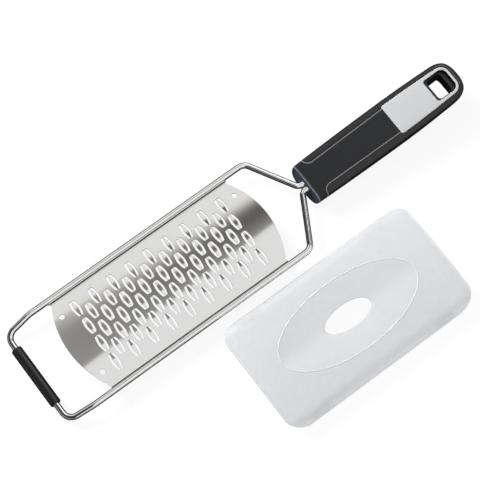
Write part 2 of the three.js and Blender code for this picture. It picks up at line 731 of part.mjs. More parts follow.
function piece(name, geometry, color, roughness, metalness) {
  const mesh = new THREE.Mesh(geometry, new THREE.MeshStandardMaterial({ color, roughness, metalness }));
  mesh.name = name;
  return mesh;
}

const grater = new THREE.Group();
grater.add(piece('frame_wire', frameWire(), 0xd5d7d9, 0.15, 1));
grater.add(piece('grating_blade', gratingBlade(), 0xcfd0d0, 0.3, 1));
grater.add(piece('front_sleeve', frontSleeve(), 0x1b1c1f, 0.6, 0));
grater.add(piece('handle_core', handleCore(), 0x3a3f4a, 0.4, 0));
grater.add(piece('handle_shell', handleShell(), 0x2d2e30, 0.6, 0));
grater.add(piece('handle_grip', handleGrip(), 0x151516, 0.35, 0));
grater.add(piece('handle_inlay', handleInlay(), 0xcdcfd1, 0.4, 0));

const guard = new THREE.Group();
guard.add(piece('blade_guard', bladeGuard(), 0xe6e7e9, 0.3, 0));
guard.position.set(GUARD_SHIFT, -railY - wireRadius - GUARD_DISTANCE - guardHalf, 0);

// The origin is the middle of the whole set's footprint, on the table
const set = new THREE.Group();
set.add(grater, guard);
set.updateMatrixWorld(true);
const box = new THREE.Box3().setFromObject(set, true);
const centre = box.getCenter(new THREE.Vector3());
set.position.set(-centre.x, -centre.y, -box.min.z);
set.updateMatrixWorld(true);

export default set;
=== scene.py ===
import math

import bpy
import numpy as np
from mathutils import Matrix, Vector
from mathutils.geometry import delaunay_2d_cdt


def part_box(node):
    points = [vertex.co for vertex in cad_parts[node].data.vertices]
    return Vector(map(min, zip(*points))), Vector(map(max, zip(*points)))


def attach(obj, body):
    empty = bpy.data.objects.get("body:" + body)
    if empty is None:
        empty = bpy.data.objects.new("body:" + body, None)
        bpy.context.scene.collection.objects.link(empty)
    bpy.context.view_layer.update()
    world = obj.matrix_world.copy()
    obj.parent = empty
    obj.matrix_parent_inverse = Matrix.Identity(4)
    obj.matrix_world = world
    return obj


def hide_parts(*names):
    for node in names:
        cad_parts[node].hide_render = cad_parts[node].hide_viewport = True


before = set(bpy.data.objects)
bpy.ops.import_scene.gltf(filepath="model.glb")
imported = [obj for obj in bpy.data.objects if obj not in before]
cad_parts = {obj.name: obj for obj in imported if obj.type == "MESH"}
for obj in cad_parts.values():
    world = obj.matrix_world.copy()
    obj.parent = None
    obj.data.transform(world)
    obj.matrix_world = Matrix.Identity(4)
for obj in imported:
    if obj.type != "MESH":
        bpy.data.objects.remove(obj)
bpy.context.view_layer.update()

MM = 0.001
scene = bpy.context.scene

# Frame wire and the sleeve on its front bend
WIRE_RADIUS = 2 * MM
WIRE_SIDES = 28
RAIL_FRONT_RUN = 14 * MM
RAIL_REAR_RUN = 16 * MM
NECK_RUN = 18.6 * MM
TANG_GAP = 0.5 * MM
FOOT_TAPER = 2.2 * MM
KINK_BEND = 14 * MM
FOOT_BEND = 7 * MM
SHOULDER_BEND = 6.5 * MM
NECK_BEND = 4 * MM
BEND_STEP = math.radians(4)
SLEEVE_ROUND = 1.2 * MM
SLEEVE_BORE_RADIUS = 2.1 * MM
SLEEVE_SIDES = 56

# Grating blade
TEETH_IN_LONG_ROW = 9
TOOTH_ROWS = 7
TOOTH_PITCH = 13.9 * MM
ROW_PITCH = 6.9 * MM
TOOTH_LENGTH = 11.7 * MM
SLIT_WIDTH = 1.5 * MM
SLIT_BLUNTNESS = 16
BRIDGE_HALF_MIDDLE = 1.15 * MM
BRIDGE_HALF_END = 0.41 * MM
BRIDGE_RISE = 0.55 * MM
BRIDGE_ROWS = np.linspace(-0.9, 0.9, 10)
BRIDGE_LANES = (-0.5, 0, 0.5)
BRIDGE_SLACK = 0.01 * MM
BLADE_SHEET = 0.6 * MM
BLADE_LIP = 0.03 * MM
BLADE_RISE = 3.6 * MM
BLADE_EDGE_DROP = 1.3 * MM
BLADE_END_BULGE = 8 * MM
BLADE_FLARE = 2.4 * MM
BLADE_GRID = 2.3 * MM
PILOT_RADIUS = 1.75 * MM
PILOT_INSET = 1.2 * MM
PILOT_OUTSET = 0.7 * MM
# Dark tubes of painted shade in the gaps between the blade and the rails
NEAR_SHADE_RADIUS = 0.58 * MM
NEAR_SHADE_RISE = 0.4 * MM
FAR_SHADE_RADIUS = 0.2 * MM
FAR_SHADE_DROP = 0.7 * MM
SHADE_LINE_SIDES = 12

# Handle body
HANDLE_FRONT_WIDTH = 27.9 * MM
HANDLE_MIDDLE_WIDTH = 29.8 * MM
HANDLE_REAR_WIDTH = 26.6 * MM
HANDLE_WIDEST = 68 * MM
HANDLE_FRONT_HEIGHT = 12.6 * MM
HANDLE_TAIL_RISE = 7.9 * MM
HANDLE_SHOULDER = 3.4 * MM
HANDLE_LIFT_START = 61 * MM
HANDLE_TAIL_LIFT = 9 * MM
HANDLE_END_ROUND = 13 * MM
HANDLE_EDGE_ROUND = 4.2 * MM
HANDLE_FLAT_DEPTH = 0.5 * MM
TOP_POWER = 4
UNDERSIDE_POWER = 2.7
TAIL_POWER = 2.6
TAIL_TIP = 0.9995
SKIN = 2 * MM
SKIN_RIM = 0.25 * MM
SKIN_COLUMNS = 32
SEAM = 0.3 * MM

# Nose of the handle
CAP_LENGTH = 1.4 * MM
NOSE_LEAN = 2.5 * MM
NOSE_EDGE = 0.6 * MM
NOSE_EDGE_STEPS = 5
NOSE_RIM = 1.5 * MM
NOSE_RIM_SLOPE = 0.3 * MM
NOSE_RECESS = 0.5 * MM
NOSE_FACE_RINGS = (0.6, 0.3)
# The light line along the nose's upper edge is a painted highlight
NOSE_LINE_INSET = 0.25 * MM
NOSE_LINE_RADIUS = 0.22 * MM
NOSE_LINE_SKIP = 1
FINE_LINE_SIDES = 10

# Panels of the handle and the grip band round them
PANEL_FRONT_HALF = 8.6 * MM
PANEL_REAR_HALF = 10 * MM
PANEL_REAR_ROUND = 6 * MM
GRIP_START = 8.6 * MM
GRIP_START_BEND = 5.5 * MM
GRIP_SIDE_STOP = 0.8 * MM
GRIP_CORNER_START = -0.2 * MM
GRIP_CORNER_STOP = 2.4 * MM
GRIP_REAR_START = 3.5 * MM
GRIP_TAIL_POINTS = 33
GRIP_PIVOT_BACK = 3 * MM
GROOVE_WIDTH = 0.5 * MM
# The light strip in the groove is a painted highlight
GROOVE_DEPTH = 0.05 * MM
GROOVE_OVERLAP = 0.1 * MM
GROOVE_FLOOR = 0.8 * MM
GROOVE_LIP = 0.01 * MM

# Silver plate and hanging hole
INLAY_SIDE_BAND = 3.6 * MM
INLAY_FRONT_ROUND = 1.5 * MM
INLAY_REAR_ROUND = 6 * MM
INLAY_THICKNESS = 1 * MM
INLAY_RIM = 0.3 * MM
INLAY_EDGE_PITCH = 1.5 * MM
INLAY_HOLE_PITCH = 1 * MM
INLAY_GRID = 1.6 * MM
HOLE_LENGTH = 16.2 * MM
HOLE_SIDE_RIM = 2 * MM
HOLE_TAIL_RIM = 1.5 * MM
HOLE_FRONT_ROUND = 2.2 * MM
HOLE_REAR_ROUND = 4.5 * MM
COLLAR_SIDE_WALL = 1 * MM
COLLAR_FRONT_WALL = 2.1 * MM
COLLAR_REAR_WALL = 3.3 * MM
COLLAR_GAP = 0.3 * MM
COLLAR_SIDES = 64
UNDER_HOLE_ROUND = 2 * MM
UNDER_HOLE_STEPS = (0.01 * MM, 0.15 * MM, 0.5 * MM, 1 * MM)
RAY_REACH = 40 * MM

# Blade guard
GUARD_WALL = 1.6 * MM
GUARD_CORNER = 11 * MM
GUARD_CROWN_RADIUS = 257 * MM
GUARD_SIDE_BEND = 7 * MM
GUARD_RIM = 0.35 * MM
GUARD_GRID = 2.6 * MM
GUARD_EDGE_POINTS = 61
DISH_HALF_LENGTH = 51 * MM
DISH_HALF_WIDTH = 23.5 * MM
DISH_DEPTH = 3.4 * MM
DISH_VALLEY = 3 * MM
DISH_STEPS = 120
DISH_RIM_SINK = 0.15 * MM
DISH_RIM_STEPS = 160
END_LINE_INSET = 0.7 * MM
GUARD_LINE_RADIUS = 0.4 * MM
END_LINE_SINK = 0.2 * MM
END_LINE_POINTS = 41
GUARD_HOLE_HALF_LENGTH = 17 * MM
GUARD_HOLE_HALF_WIDTH = 7.5 * MM
HOOK_LENGTH = 13 * MM
HOOK_REACH = 3 * MM
HOOK_THICKNESS = 1.4 * MM
HOOK_INSET = 23 * MM
HOOK_ROOT = 0.6 * MM
HOOK_ROUND = 0.4 * MM
HOOK_CORNER_STEPS = 4

# Meshes
SHARP_ANGLE = math.radians(38)
WELD_GAP = 0.002 * MM
LIP_ROWS = 4
FEW_STEPS = 6
CORNER_STEPS = 8
BAND_STEPS = 14
CURL_STEPS = 16
ROUND_STEPS = 24
SIDE_POINTS = 40
RING_SIDES = 72
MITRE_LIMIT = 1.5
GRID_CLEARANCE = 0.45
PLAN_TOLERANCE = 1e-5
HALVINGS = 50

# Finishes
GRAIN_DETAIL = 3
GRAIN_LOW = 0.3
GRAIN_HIGH = 0.7
BUMP_DEPTH = 0.05 * MM
MILKY_TINT = (0.78, 0.79, 0.81, 1)
MILKY_THROUGH = 0.25
MILKY_CLEAR = 0.34

# Floor, and the cards that only reflections see
FLOOR_DROP = 0.02 * MM
FLOOR_HALF = 2.5
FLOOR_TONE = (0.8, 0.8, 0.8, 1)
FLOOR_SEEN_TONE = (0.16, 0.16, 0.16, 1)
FLOOR_GLOW = 0.88
FLAG_FOOT_TONES = ((0, 0.08), (1, 0.08))
FLAG_FRONT_TONES = ((0, 0.35), (0.6, 0.36), (0.85, 0.44), (0.95, 0.6), (1, 0.93))
FLAG_REAR_TONES = ((0, 0.33), (0.2, 0.2), (0.4, 0.125), (0.55, 0.14), (0.7, 0.28), (0.83, 0.66), (1, 0.95))
FLAG_COLUMNS = ((0, FLAG_FOOT_TONES), (0.3, FLAG_FOOT_TONES), (0.4, FLAG_FRONT_TONES),
                (0.68, FLAG_REAR_TONES), (1, FLAG_REAR_TONES))
FLAG_TINT = (1.03, 1.0, 0.95)
FLAG_HEIGHT = 1.0
FLAG_FRONT = (-0.45, -0.056, 0.88)
FLAG_REAR = (0.62, 0.205, 0.36)
CLOTH_MARGIN = 60 * MM
CLOTH_HEIGHT = 0.1 * MM
CLOTH_TONE = (0.03, 0.03, 0.035)
DARK_TONE = (0.04, 0.04, 0.045)
BRIGHT_TONE = (2.8, 2.8, 2.8)
# Each standing card: x at its lower and upper edge, sides, heights and tone
STANDING_CARDS = {"studio_front_card": ((-0.9, -0.9), (-1.1, 2.0), (0.4, 2.4), DARK_TONE),
                  "studio_bright_card": ((0.75, 0.5), (0.1, 0.9), (0.75, 1.0), BRIGHT_TONE),
                  "studio_rear_card": ((0.7, 0.7), (-0.26, 0.06), (0.42, 1.2), DARK_TONE)}

# Sky and lamps
WHITE = (1, 1, 1, 1)
AMBIENT = 0.38
# Tones of the sky in reflections, by height
SHINE_STOPS = ((0.22, (0.08, 0.08, 0.08)), (0.45, (0.95, 0.95, 0.95)))
# Each lamp: place, size and power
LAMPS = {"studio_key": ((-0.35, 1.2, 0.65), 0.7, 27), "studio_fill": ((0.5, -1.3, 0.45), 1.0, 9)}

# Camera
CAMERA_AZIMUTH = math.radians(-38.772)
CAMERA_ELEVATION = math.radians(72.5)
CAMERA_ROLL = math.radians(2.01)
CAMERA_DISTANCE = 1.148149
CAMERA_TARGET = (51.503 * MM, -3.816 * MM, 6.917 * MM)
CAMERA_LENS = 138.67


# Places taken from the frame

def span(node):
    """Middle and half size of a CAD node's box."""
    low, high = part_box(node)
    return (low + high) / 2, (high - low) / 2


wire_low, wire_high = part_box("frame_wire")
core_low, core_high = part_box("handle_core")
inlay_low, inlay_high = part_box("handle_inlay")
grip_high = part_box("handle_grip")[1]
blade_middle, blade_half = span("grating_blade")
sleeve_middle, sleeve_half = span("front_sleeve")
guard_centre, guard_half = span("blade_guard")

# The grater's own zero is under the blade's middle, the guard's under its own
grater = Vector((*blade_middle.xy, 0))
guard_middle = Vector((*guard_centre.xy, 0))

blade_corner = blade_half.x - BLADE_END_BULGE
rail_z = wire_high.z - WIRE_RADIUS
rail_y = (wire_high.y - wire_low.y) / 2 - WIRE_RADIUS
arch_radius = (blade_half.y ** 2 + BLADE_RISE ** 2) / (2 * BLADE_RISE)
outer_row = (TOOTH_ROWS - 1) / 2 * ROW_PITCH
tooth_half = TOOTH_LENGTH / 2

foot = sleeve_middle - grater

handle_front = core_low.x - grater.x
handle_rear = grip_high.x - grater.x
grip_front = handle_front + GRIP_START
widest_x = handle_front + HANDLE_WIDEST
lift_x = handle_front + HANDLE_LIFT_START
tail_x = handle_rear - HANDLE_END_ROUND
inlay_front = inlay_low.x - grater.x
inlay_rear = inlay_high.x - grater.x
panel_rear = inlay_rear - GROOVE_WIDTH
panel_round_x = panel_rear - PANEL_REAR_ROUND
hole_rear = inlay_rear - HOLE_TAIL_RIM
hole_front = hole_rear - HOLE_LENGTH
under_hole_front = hole_front + COLLAR_FRONT_WALL
under_hole_rear = hole_rear - COLLAR_REAR_WALL

# The grip band stays clear of the panel by the groove and of the silver plate by the seam
groove_gap = GROOVE_WIDTH + SKIN_RIM
seam_gap = SEAM + SKIN_RIM
seat_front = inlay_front - seam_gap
grip_pivot = inlay_rear - INLAY_REAR_ROUND - GRIP_PIVOT_BACK

crown_end = math.asin((guard_half.y - GUARD_SIDE_BEND) / (GUARD_CROWN_RADIUS - GUARD_SIDE_BEND))
crown_length = GUARD_CROWN_RADIUS * crown_end
bend_length = GUARD_SIDE_BEND * (math.pi / 2 - crown_end)
guard_top = guard_centre.z + guard_half.z


# Mesh helpers

def unit(vectors):
    return vectors / np.linalg.norm(vectors, axis=-1, keepdims=True)


def corner_normals(points, faces):
    """Area-weighted normal at every point of a surface."""
    normals = np.zeros_like(points)
    for face in faces:
        corners = points[list(face)]
        normals[list(face)] += np.cross(corners, np.roll(corners, -1, axis=0)).sum(axis=0)
    return unit(normals)


def weld(points, faces):
    """Joins points that lie on each other and drops faces that close up."""
    keys = [tuple(key) for key in np.round(points / WELD_GAP).astype(int)]
    places = {key: i for i, key in enumerate(dict.fromkeys(keys))}
    kept = dict(zip(reversed(keys), reversed(points)))
    joined = [tuple(dict.fromkeys(places[keys[corner]] for corner in face)) for face in faces]
    return np.array([kept[key] for key in places]), [face for face in joined if len(face) > 2]


def grid(rows):
    count = len(rows[0])
    faces = []
    for start in range(0, (len(rows) - 1) * count, count):
        faces += [(a, a + count, a + count + 1, a + 1) for a in range(start, start + count - 1)]
    return np.array([point for row in rows for point in row]), faces


def rings(loops, capped=False):
    """A skin over closed loops of points."""
    count = len(loops[0])
    faces = []
    for start in range(0, (len(loops) - 1) * count, count):
        for j in range(count):
            a, b = start + j, start + (j + 1) % count
            faces.append((a, b, b + count, a + count))
    if capped:
        last = (len(loops) - 1) * count
        faces += [tuple(reversed(range(count))), tuple(range(last, last + count))]
    return np.array([point for loop in loops for point in loop]), faces


def join(*parts):
    faces = []
    start = 0
    for points, part_faces in parts:
        faces += [tuple(corner + start for corner in face) for face in part_faces]
        start += len(points)
    return np.concatenate([points for points, _ in parts]), faces


def mirrored(part):
    """The same surface on the other side."""
    points, faces = part
    return points * (1, -1, 1), [tuple(reversed(face)) for face in faces]


def free_edges(faces):
    used = set()
    for face in faces:
        used.update(zip(face, face[1:] + face[:1]))
    return sorted((a, b) for a, b in used if (b, a) not in used)


def edge_reach(points, edges, normals):
    """The points on free edges and the way outward at each, mitred at corners."""
    outward = np.zeros_like(points)
    for a, b in edges:
        side = unit(np.cross(points[b] - points[a], normals[a] + normals[b]))
        outward[a] += side
        outward[b] += side
    ends = sorted({a for edge in edges for a in edge})
    length = np.linalg.norm(outward[ends], axis=1, keepdims=True)
    return ends, outward[ends] / length * np.minimum(2 / length, MITRE_LIMIT)


def thick_sheet(points, faces, depth, rim, lip_rows=LIP_ROWS, normals=None):
    """A closed piece under a surface, with a rounded lip on each free edge."""
    if normals is None:
        normals = corner_normals(points, faces)
    edges = free_edges(faces)
    ends, reach = edge_reach(points, edges, normals)
    up = normals[ends]
    levels = []
    for angle in np.linspace(0, math.pi / 2, lip_rows + 1)[1:]:
        levels.append(points[ends] + reach * rim * math.sin(angle) - up * rim * (1 - math.cos(angle)))
    levels.append(points[ends] + reach * rim - up * depth)
    starts = [len(points) + k * len(ends) for k in range(len(levels))]
    inner = len(points) + len(levels) * len(ends)
    place = {a: i for i, a in enumerate(ends)}
    all_faces = list(faces)
    for a, b in edges:
        rows = [(start + place[a], start + place[b]) for start in starts]
        rows = [(a, b), *rows, (inner + a, inner + b)]
        all_faces += [(b0, a0, a1, b1) for (a0, b0), (a1, b1) in zip(rows, rows[1:])]
    all_faces += [tuple(inner + corner for corner in reversed(face)) for face in faces]
    return np.concatenate([points, *levels, points - normals * depth]), all_faces


def within(spots, loop):
    """Which of the spots lie inside a closed plan loop."""
    x, y = spots[:, 0], spots[:, 1]
    inside = np.zeros(len(spots), bool)
    for (x0, y0), (x1, y1) in zip(loop, np.roll(loop, -1, axis=0)):
        if y0 != y1:
            inside ^= ((y0 > y) != (y1 > y)) & (x < (x1 - x0) * (y - y0) / (y1 - y0) + x0)
    return inside


def staggered(outline, pitch, loops):
    """Staggered spots inside an outline, clear of the loops."""
    low, high = outline.min(axis=0), outline.max(axis=0)
    columns, rows = ((high - low) / 2 / pitch).astype(int) + 1
    middle = (low[0] + high[0]) / 2
    spots = np.array([(middle + (column + row % 2 / 2) * pitch, row * pitch)
                      for row in range(-rows, rows + 1) for column in range(-columns, columns + 1)])
    spots = spots[within(spots, outline)]
    edge = np.concatenate(loops)
    clear = [np.min(np.sum((edge - spot) ** 2, axis=1)) > (GRID_CLEARANCE * pitch) ** 2 for spot in spots]
    return spots[np.array(clear)]


def fill_plan(outline, holes, pitch, lines=(), extra=()):
    """Triangles inside an outline and outside its holes, through lines and spots."""
    loops = [outline, *holes, *lines]
    spots = staggered(outline, pitch, loops + [np.reshape(extra, (-1, 2))])
    for hole in holes:
        spots = spots[~within(spots, hole)]
    flat = []
    edges = []
    for loop in loops:
        start = len(flat)
        flat += [*loop]
        edges += [(start + i, start + (i + 1) % len(loop)) for i in range(len(loop))]
    flat += [*spots, *extra]
    found = delaunay_2d_cdt([Vector(p) / MM for p in flat], edges, [], 0, PLAN_TOLERANCE)
    points = np.array(found[0]) * MM
    triangles = np.array(found[2])
    middles = points[triangles].mean(axis=1)
    keep = within(middles, outline)
    for hole in holes:
        keep &= ~within(middles, hole)
    used, faces = np.unique(triangles[keep], return_inverse=True)
    return points[used], faces.reshape(-1, 3).tolist()


def new_object(name, data):
    thing = bpy.data.objects.new(name, data)
    scene.collection.objects.link(thing)
    return thing


def new_mesh(name, points, faces, material):
    mesh = bpy.data.meshes.new(name)
    mesh.from_pydata(points, [], faces)
    mesh.materials.append(material)
    return mesh


def add_piece(name, part, material, node, top_normals=()):
    """One object of the model, in the place of its CAD node."""
    body, origin = ("guard", guard_middle) if node == "blade_guard" else ("grater", grater)
    points, faces = part
    mesh = new_mesh(name, points + np.array(origin), faces, material)
    mesh.shade_smooth()
    mesh.set_sharp_from_angle(angle=SHARP_ANGLE)
    if top_normals:
        kept = [(0, 0, 0)] * (len(mesh.loops) - len(top_normals))
        mesh.normals_split_custom_set(top_normals + kept)
    piece = new_object(name, mesh)
    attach(piece, body)
    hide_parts(node)


# Curves

def full_turn(count):
    return [2 * math.pi * k / count for k in range(count)]


def arc(centre_x, centre_y, radius, start, end, steps):
    """Points on an arc, angles in degrees."""
    angles = np.radians(np.linspace(start, end, steps + 1))
    return np.stack([centre_x + radius * np.cos(angles), centre_y + radius * np.sin(angles)], axis=1)


def quadratic(start, control, end, steps):
    t = np.linspace(0, 1, steps + 1)[:, None]
    return (1 - t) ** 2 * start + 2 * t * (1 - t) * control + t ** 2 * end


def spaced(loop, pitch):
    """A closed loop with no step longer than the pitch."""
    filled = []
    for a, b in zip(loop, np.roll(loop, -1, axis=0)):
        steps = max(1, math.ceil(np.linalg.norm(b - a) / pitch))
        filled += [a + (b - a) * k / steps for k in range(steps)]
    return np.array(filled)


def ellipse(half_x, half_y, count):
    return np.array([(half_x * math.cos(t), half_y * math.sin(t)) for t in full_turn(count)])


def eased(start, end, steps):
    """Sines over a range of angles, closer together near a quarter turn."""
    return np.sin(np.linspace(start, end, steps + 1))


def rounded_path(corners, bends):
    """A line of corners with an arc at each inner one."""
    path = [corners[0]]
    for before, corner, after, radius in zip(corners, corners[1:], corners[2:], bends):
        back = (before - corner).normalized()
        ahead = (after - corner).normalized()
        half = back.angle(ahead) / 2
        centre = corner + (back + ahead).normalized() * radius / math.sin(half)
        arm = corner + back * radius / math.tan(half) - centre
        turn = math.pi - 2 * half
        axis = ahead.cross(back).normalized()
        steps = math.ceil(turn / BEND_STEP)
        path += [centre + Matrix.Rotation(turn * k / steps, 3, axis) @ arm for k in range(steps + 1)]
    return path + [corners[-1]]


def swept_tube(path, radius, sides, closed=False):
    """A round bar along a path, with flat ends unless the path closes."""
    loops = []
    across = Vector((0, 0, 1)).cross(path[1] - path[0]).normalized()
    befores = [path[-1] if closed else path[0], *path]
    afters = [*path[1:], path[0] if closed else path[-1]]
    for before, point, after in zip(befores, path, afters):
        ahead = (after - before).normalized()
        across = (across - ahead * across.dot(ahead)).normalized()
        up = ahead.cross(across)
        loops.append([point + (across * math.cos(t) + up * math.sin(t)) * radius for t in full_turn(sides)])
    if closed:
        return weld(*rings(loops + loops[:1]))
    return rings(loops, capped=True)


# Materials

def new_material(name):
    material = bpy.data.materials.new(name)
    material.use_nodes = True
    return material, material.node_tree


def show(tree, shader, output="Material Output"):
    feed(tree, tree.nodes[output].inputs["Surface"], shader)


def feed(tree, socket, value):
    """Sets an input, or links it to the output of another node."""
    if isinstance(value, bpy.types.NodeSocket):
        tree.links.new(value, socket)
    else:
        socket.default_value = value


def add_node(tree, kind, *inputs, **named_inputs):
    """The first output of a new node; its inputs go by place or by name."""
    node = tree.nodes.new(kind)
    for key, value in [*enumerate(inputs), *named_inputs.items()]:
        feed(tree, node.inputs[key], value)
    return node.outputs[0]


def ramp(tree, value, *stops):
    """Colours over a value; each stop is a position and a colour."""
    tone = add_node(tree, "ShaderNodeValToRGB", value)
    for element, (position, colour) in zip(tone.node.color_ramp.elements, stops):
        element.position = position
        element.color = (*colour, 1)
    return tone


def surface(name, dark, light, roughness, metallic=0.0, grain=3000.0, bump=0.0, specular=0.5):
    """A finish between two tones over a fine grain."""
    material, tree = new_material(name)
    place = tree.nodes.new("ShaderNodeTexCoord").outputs["Object"]
    noise = add_node(tree, "ShaderNodeTexNoise", Vector=place, Scale=grain, Detail=GRAIN_DETAIL)
    finish = {"Roughness": roughness, "Metallic": metallic, "Specular IOR Level": specular,
              "Base Color": ramp(tree, noise, (GRAIN_LOW, dark), (GRAIN_HIGH, light))}
    if bump:
        finish["Normal"] = add_node(tree, "ShaderNodeBump", Strength=bump, Distance=BUMP_DEPTH, Height=noise)
    for socket, value in finish.items():
        feed(tree, tree.nodes["Principled BSDF"].inputs[socket], value)
    return material


def milky_plastic():
    """Translucent white plastic: part of the light passes through."""
    material = surface("guard_plastic", (0.75, 0.76, 0.775), (0.79, 0.80, 0.815), 0.32, grain=300.0)
    tree = material.node_tree
    white = tree.nodes["Principled BSDF"].outputs["BSDF"]
    through = add_node(tree, "ShaderNodeBsdfTranslucent", MILKY_TINT)
    milky = add_node(tree, "ShaderNodeMixShader", MILKY_THROUGH, white, through)
    clear = add_node(tree, "ShaderNodeBsdfTransparent")
    show(tree, add_node(tree, "ShaderNodeMixShader", MILKY_CLEAR, milky, clear))
    return material


steel_wire = surface("steel_wire", (0.80, 0.80, 0.79), (0.86, 0.86, 0.85), 0.10, metallic=1.0, grain=900.0)
steel_sheet = surface("steel_sheet", (0.74, 0.74, 0.735), (0.77, 0.77, 0.765), 0.09,
                      metallic=1.0, grain=1500.0)
# Painted shade for the shadowed gaps between the blade and the rails
painted_shade_steel = surface("painted_shade_steel", (0.035, 0.033, 0.030), (0.06, 0.057, 0.053), 0.5,
                     metallic=0.3, grain=800.0)
black_rubber = surface("black_rubber", (0.008, 0.008, 0.0095), (0.012, 0.012, 0.014), 0.34,
                       grain=2500.0, bump=0.3)
matt_plastic = surface("matt_plastic", (0.010, 0.0105, 0.0115), (0.015, 0.0155, 0.017), 0.6,
                       grain=4000.0, bump=0.5, specular=0.35)
gloss_rubber = surface("gloss_rubber", (0.003, 0.003, 0.003), (0.005, 0.005, 0.005), 0.24, bump=0.1)
silver_paint = surface("silver_paint", (0.55, 0.555, 0.565), (0.61, 0.615, 0.625), 0.45,
                       grain=5000.0, bump=0.2)
nose_plastic = surface("nose_plastic", (0.042, 0.050, 0.070), (0.050, 0.059, 0.082), 0.5, bump=0.3)
# Painted shade inside the hanging hole
shaded_collar_plastic = surface("shaded_collar_plastic", (0.003, 0.0035, 0.005), (0.005, 0.006, 0.008), 0.5, bump=0.3)
# Painted highlight for the end plate's upper edge
nose_highlight_plastic = surface("nose_highlight_plastic", (0.24, 0.25, 0.27), (0.30, 0.31, 0.33), 0.45)
# Painted highlight for the groove between the panel and the grip
groove_highlight_plastic = surface("groove_highlight_plastic", (0.15, 0.155, 0.16), (0.18, 0.185, 0.19), 0.6)
guard_plastic = milky_plastic()
# Whiter than the guard's own plastic: a painted highlight on its fine raised lines
white_highlight_plastic = surface("white_highlight_plastic", (0.80, 0.81, 0.82), (0.84, 0.85, 0.86), 0.35, grain=300.0)


# Frame wire and sleeve

def frame_wire():
    shoulder_x = blade_corner + RAIL_REAR_RUN
    neck_x = shoulder_x + NECK_RUN
    kink_x = -blade_corner - RAIL_FRONT_RUN
    neck_y = WIRE_RADIUS + TANG_GAP / 2
    side = [(wire_high.x - grater.x, neck_y, rail_z), (neck_x, neck_y, rail_z),
            (shoulder_x, rail_y, rail_z), (kink_x, rail_y, rail_z), (foot.x, rail_y - FOOT_TAPER, foot.z)]
    other = [(x, -y, z) for x, y, z in reversed(side)]
    bends = [NECK_BEND, SHOULDER_BEND, KINK_BEND, FOOT_BEND]
    path = rounded_path([Vector(p) for p in side + other], bends + bends[::-1])
    add_piece("frame_wire_bar", swept_tube(path, WIRE_RADIUS, WIRE_SIDES), steel_wire, "frame_wire")


def front_sleeve():
    """The rubber tube on the foot, with rounded ends."""
    turns = np.linspace(0, math.pi / 2, FEW_STEPS + 1)
    curve = [(sleeve_half.z - SLEEVE_ROUND * (1 - math.sin(t)),
              sleeve_half.y - SLEEVE_ROUND * (1 - math.cos(t))) for t in turns]
    curve = [(SLEEVE_BORE_RADIUS, sleeve_half.y)] + curve
    profile = [(radius, -along) for radius, along in curve] + curve[::-1]
    loops = []
    for radius, along in profile:
        loops.append([(foot.x + radius * math.sin(t), foot.y + along, foot.z + radius * math.cos(t))
                      for t in full_turn(SLEEVE_SIDES)])
    add_piece("front_sleeve_tube", weld(*rings(loops + loops[:1])), black_rubber, "front_sleeve")


# Grating blade

def blade_outline():
    """Plan of the blade: bowed ends that flare out to the rails."""
    flare_y = blade_half.y - BLADE_FLARE
    radius = (flare_y ** 2 + BLADE_END_BULGE ** 2) / (2 * BLADE_END_BULGE)
    sweep = math.degrees(math.asin(flare_y / radius))
    centre = blade_corner + BLADE_END_BULGE - radius
    tip = blade_corner + BLADE_FLARE / 2
    control = (blade_corner - BLADE_FLARE / 4, blade_half.y)
    flare = quadratic((blade_corner, flare_y), control, (tip, blade_half.y), CORNER_STEPS)
    end = np.concatenate([arc(centre, 0, radius, 0, sweep, ROUND_STEPS), flare[1:]])
    half = np.concatenate([end, end[::-1] * (-1, 1)])
    return spaced(np.concatenate([half, (half * (1, -1))[::-1][1:-1]]), BLADE_GRID)


def tooth_places():
    counts = [TEETH_IN_LONG_ROW - row % 2 for row in range(TOOTH_ROWS)]
    return [((k - (count - 1) / 2) * TOOTH_PITCH, row * ROW_PITCH - outer_row)
            for row, count in enumerate(counts) for k in range(count)]


def bridge_half(s):
    """Half width of a tooth's bridge, from its middle at 0 to its ends at 1."""
    return BRIDGE_HALF_END + (BRIDGE_HALF_MIDDLE - BRIDGE_HALF_END) * (1 - s ** 2) ** 2


def tooth_slit(x, y, side):
    """One of the two bowed slits beside a tooth's bridge."""
    steps = eased(-math.pi / 2, math.pi / 2, CURL_STEPS)
    inner = [(x + side * bridge_half(s), y + s * tooth_half) for s in steps]
    width = [SLIT_WIDTH * math.sqrt(max(0, 1 - s ** SLIT_BLUNTNESS)) for s in steps]
    outer = [(px + side * w, py) for (px, py), w in zip(inner, width)]
    return np.array(inner + outer[::-1][1:-1])


def blade_plan(places):
    """The blade in plan, open at the slits and the pilot holes."""
    outline = blade_outline()
    holes = [tooth_slit(x, y, side) for x, y in places for side in (-1, 1)]
    pilot_x = blade_corner - PILOT_INSET
    pilot_y = outer_row + PILOT_OUTSET
    for x, y in ((-pilot_x, pilot_y), (-pilot_x, -pilot_y), (pilot_x, pilot_y)):
        holes.append(arc(x, y, PILOT_RADIUS, 0, 360, ROUND_STEPS)[:-1])
    bridges = []
    for x, y in places:
        for s in BRIDGE_ROWS:
            bridges += [(x + lane * bridge_half(s), y + s * tooth_half) for lane in BRIDGE_LANES]
    return fill_plan(outline, holes, BLADE_GRID, extra=bridges)


def across_normals(slope):
    """Normals of a surface that falls away to its sides."""
    level = np.zeros_like(slope)
    return unit(np.column_stack([level, slope, level + 1]))


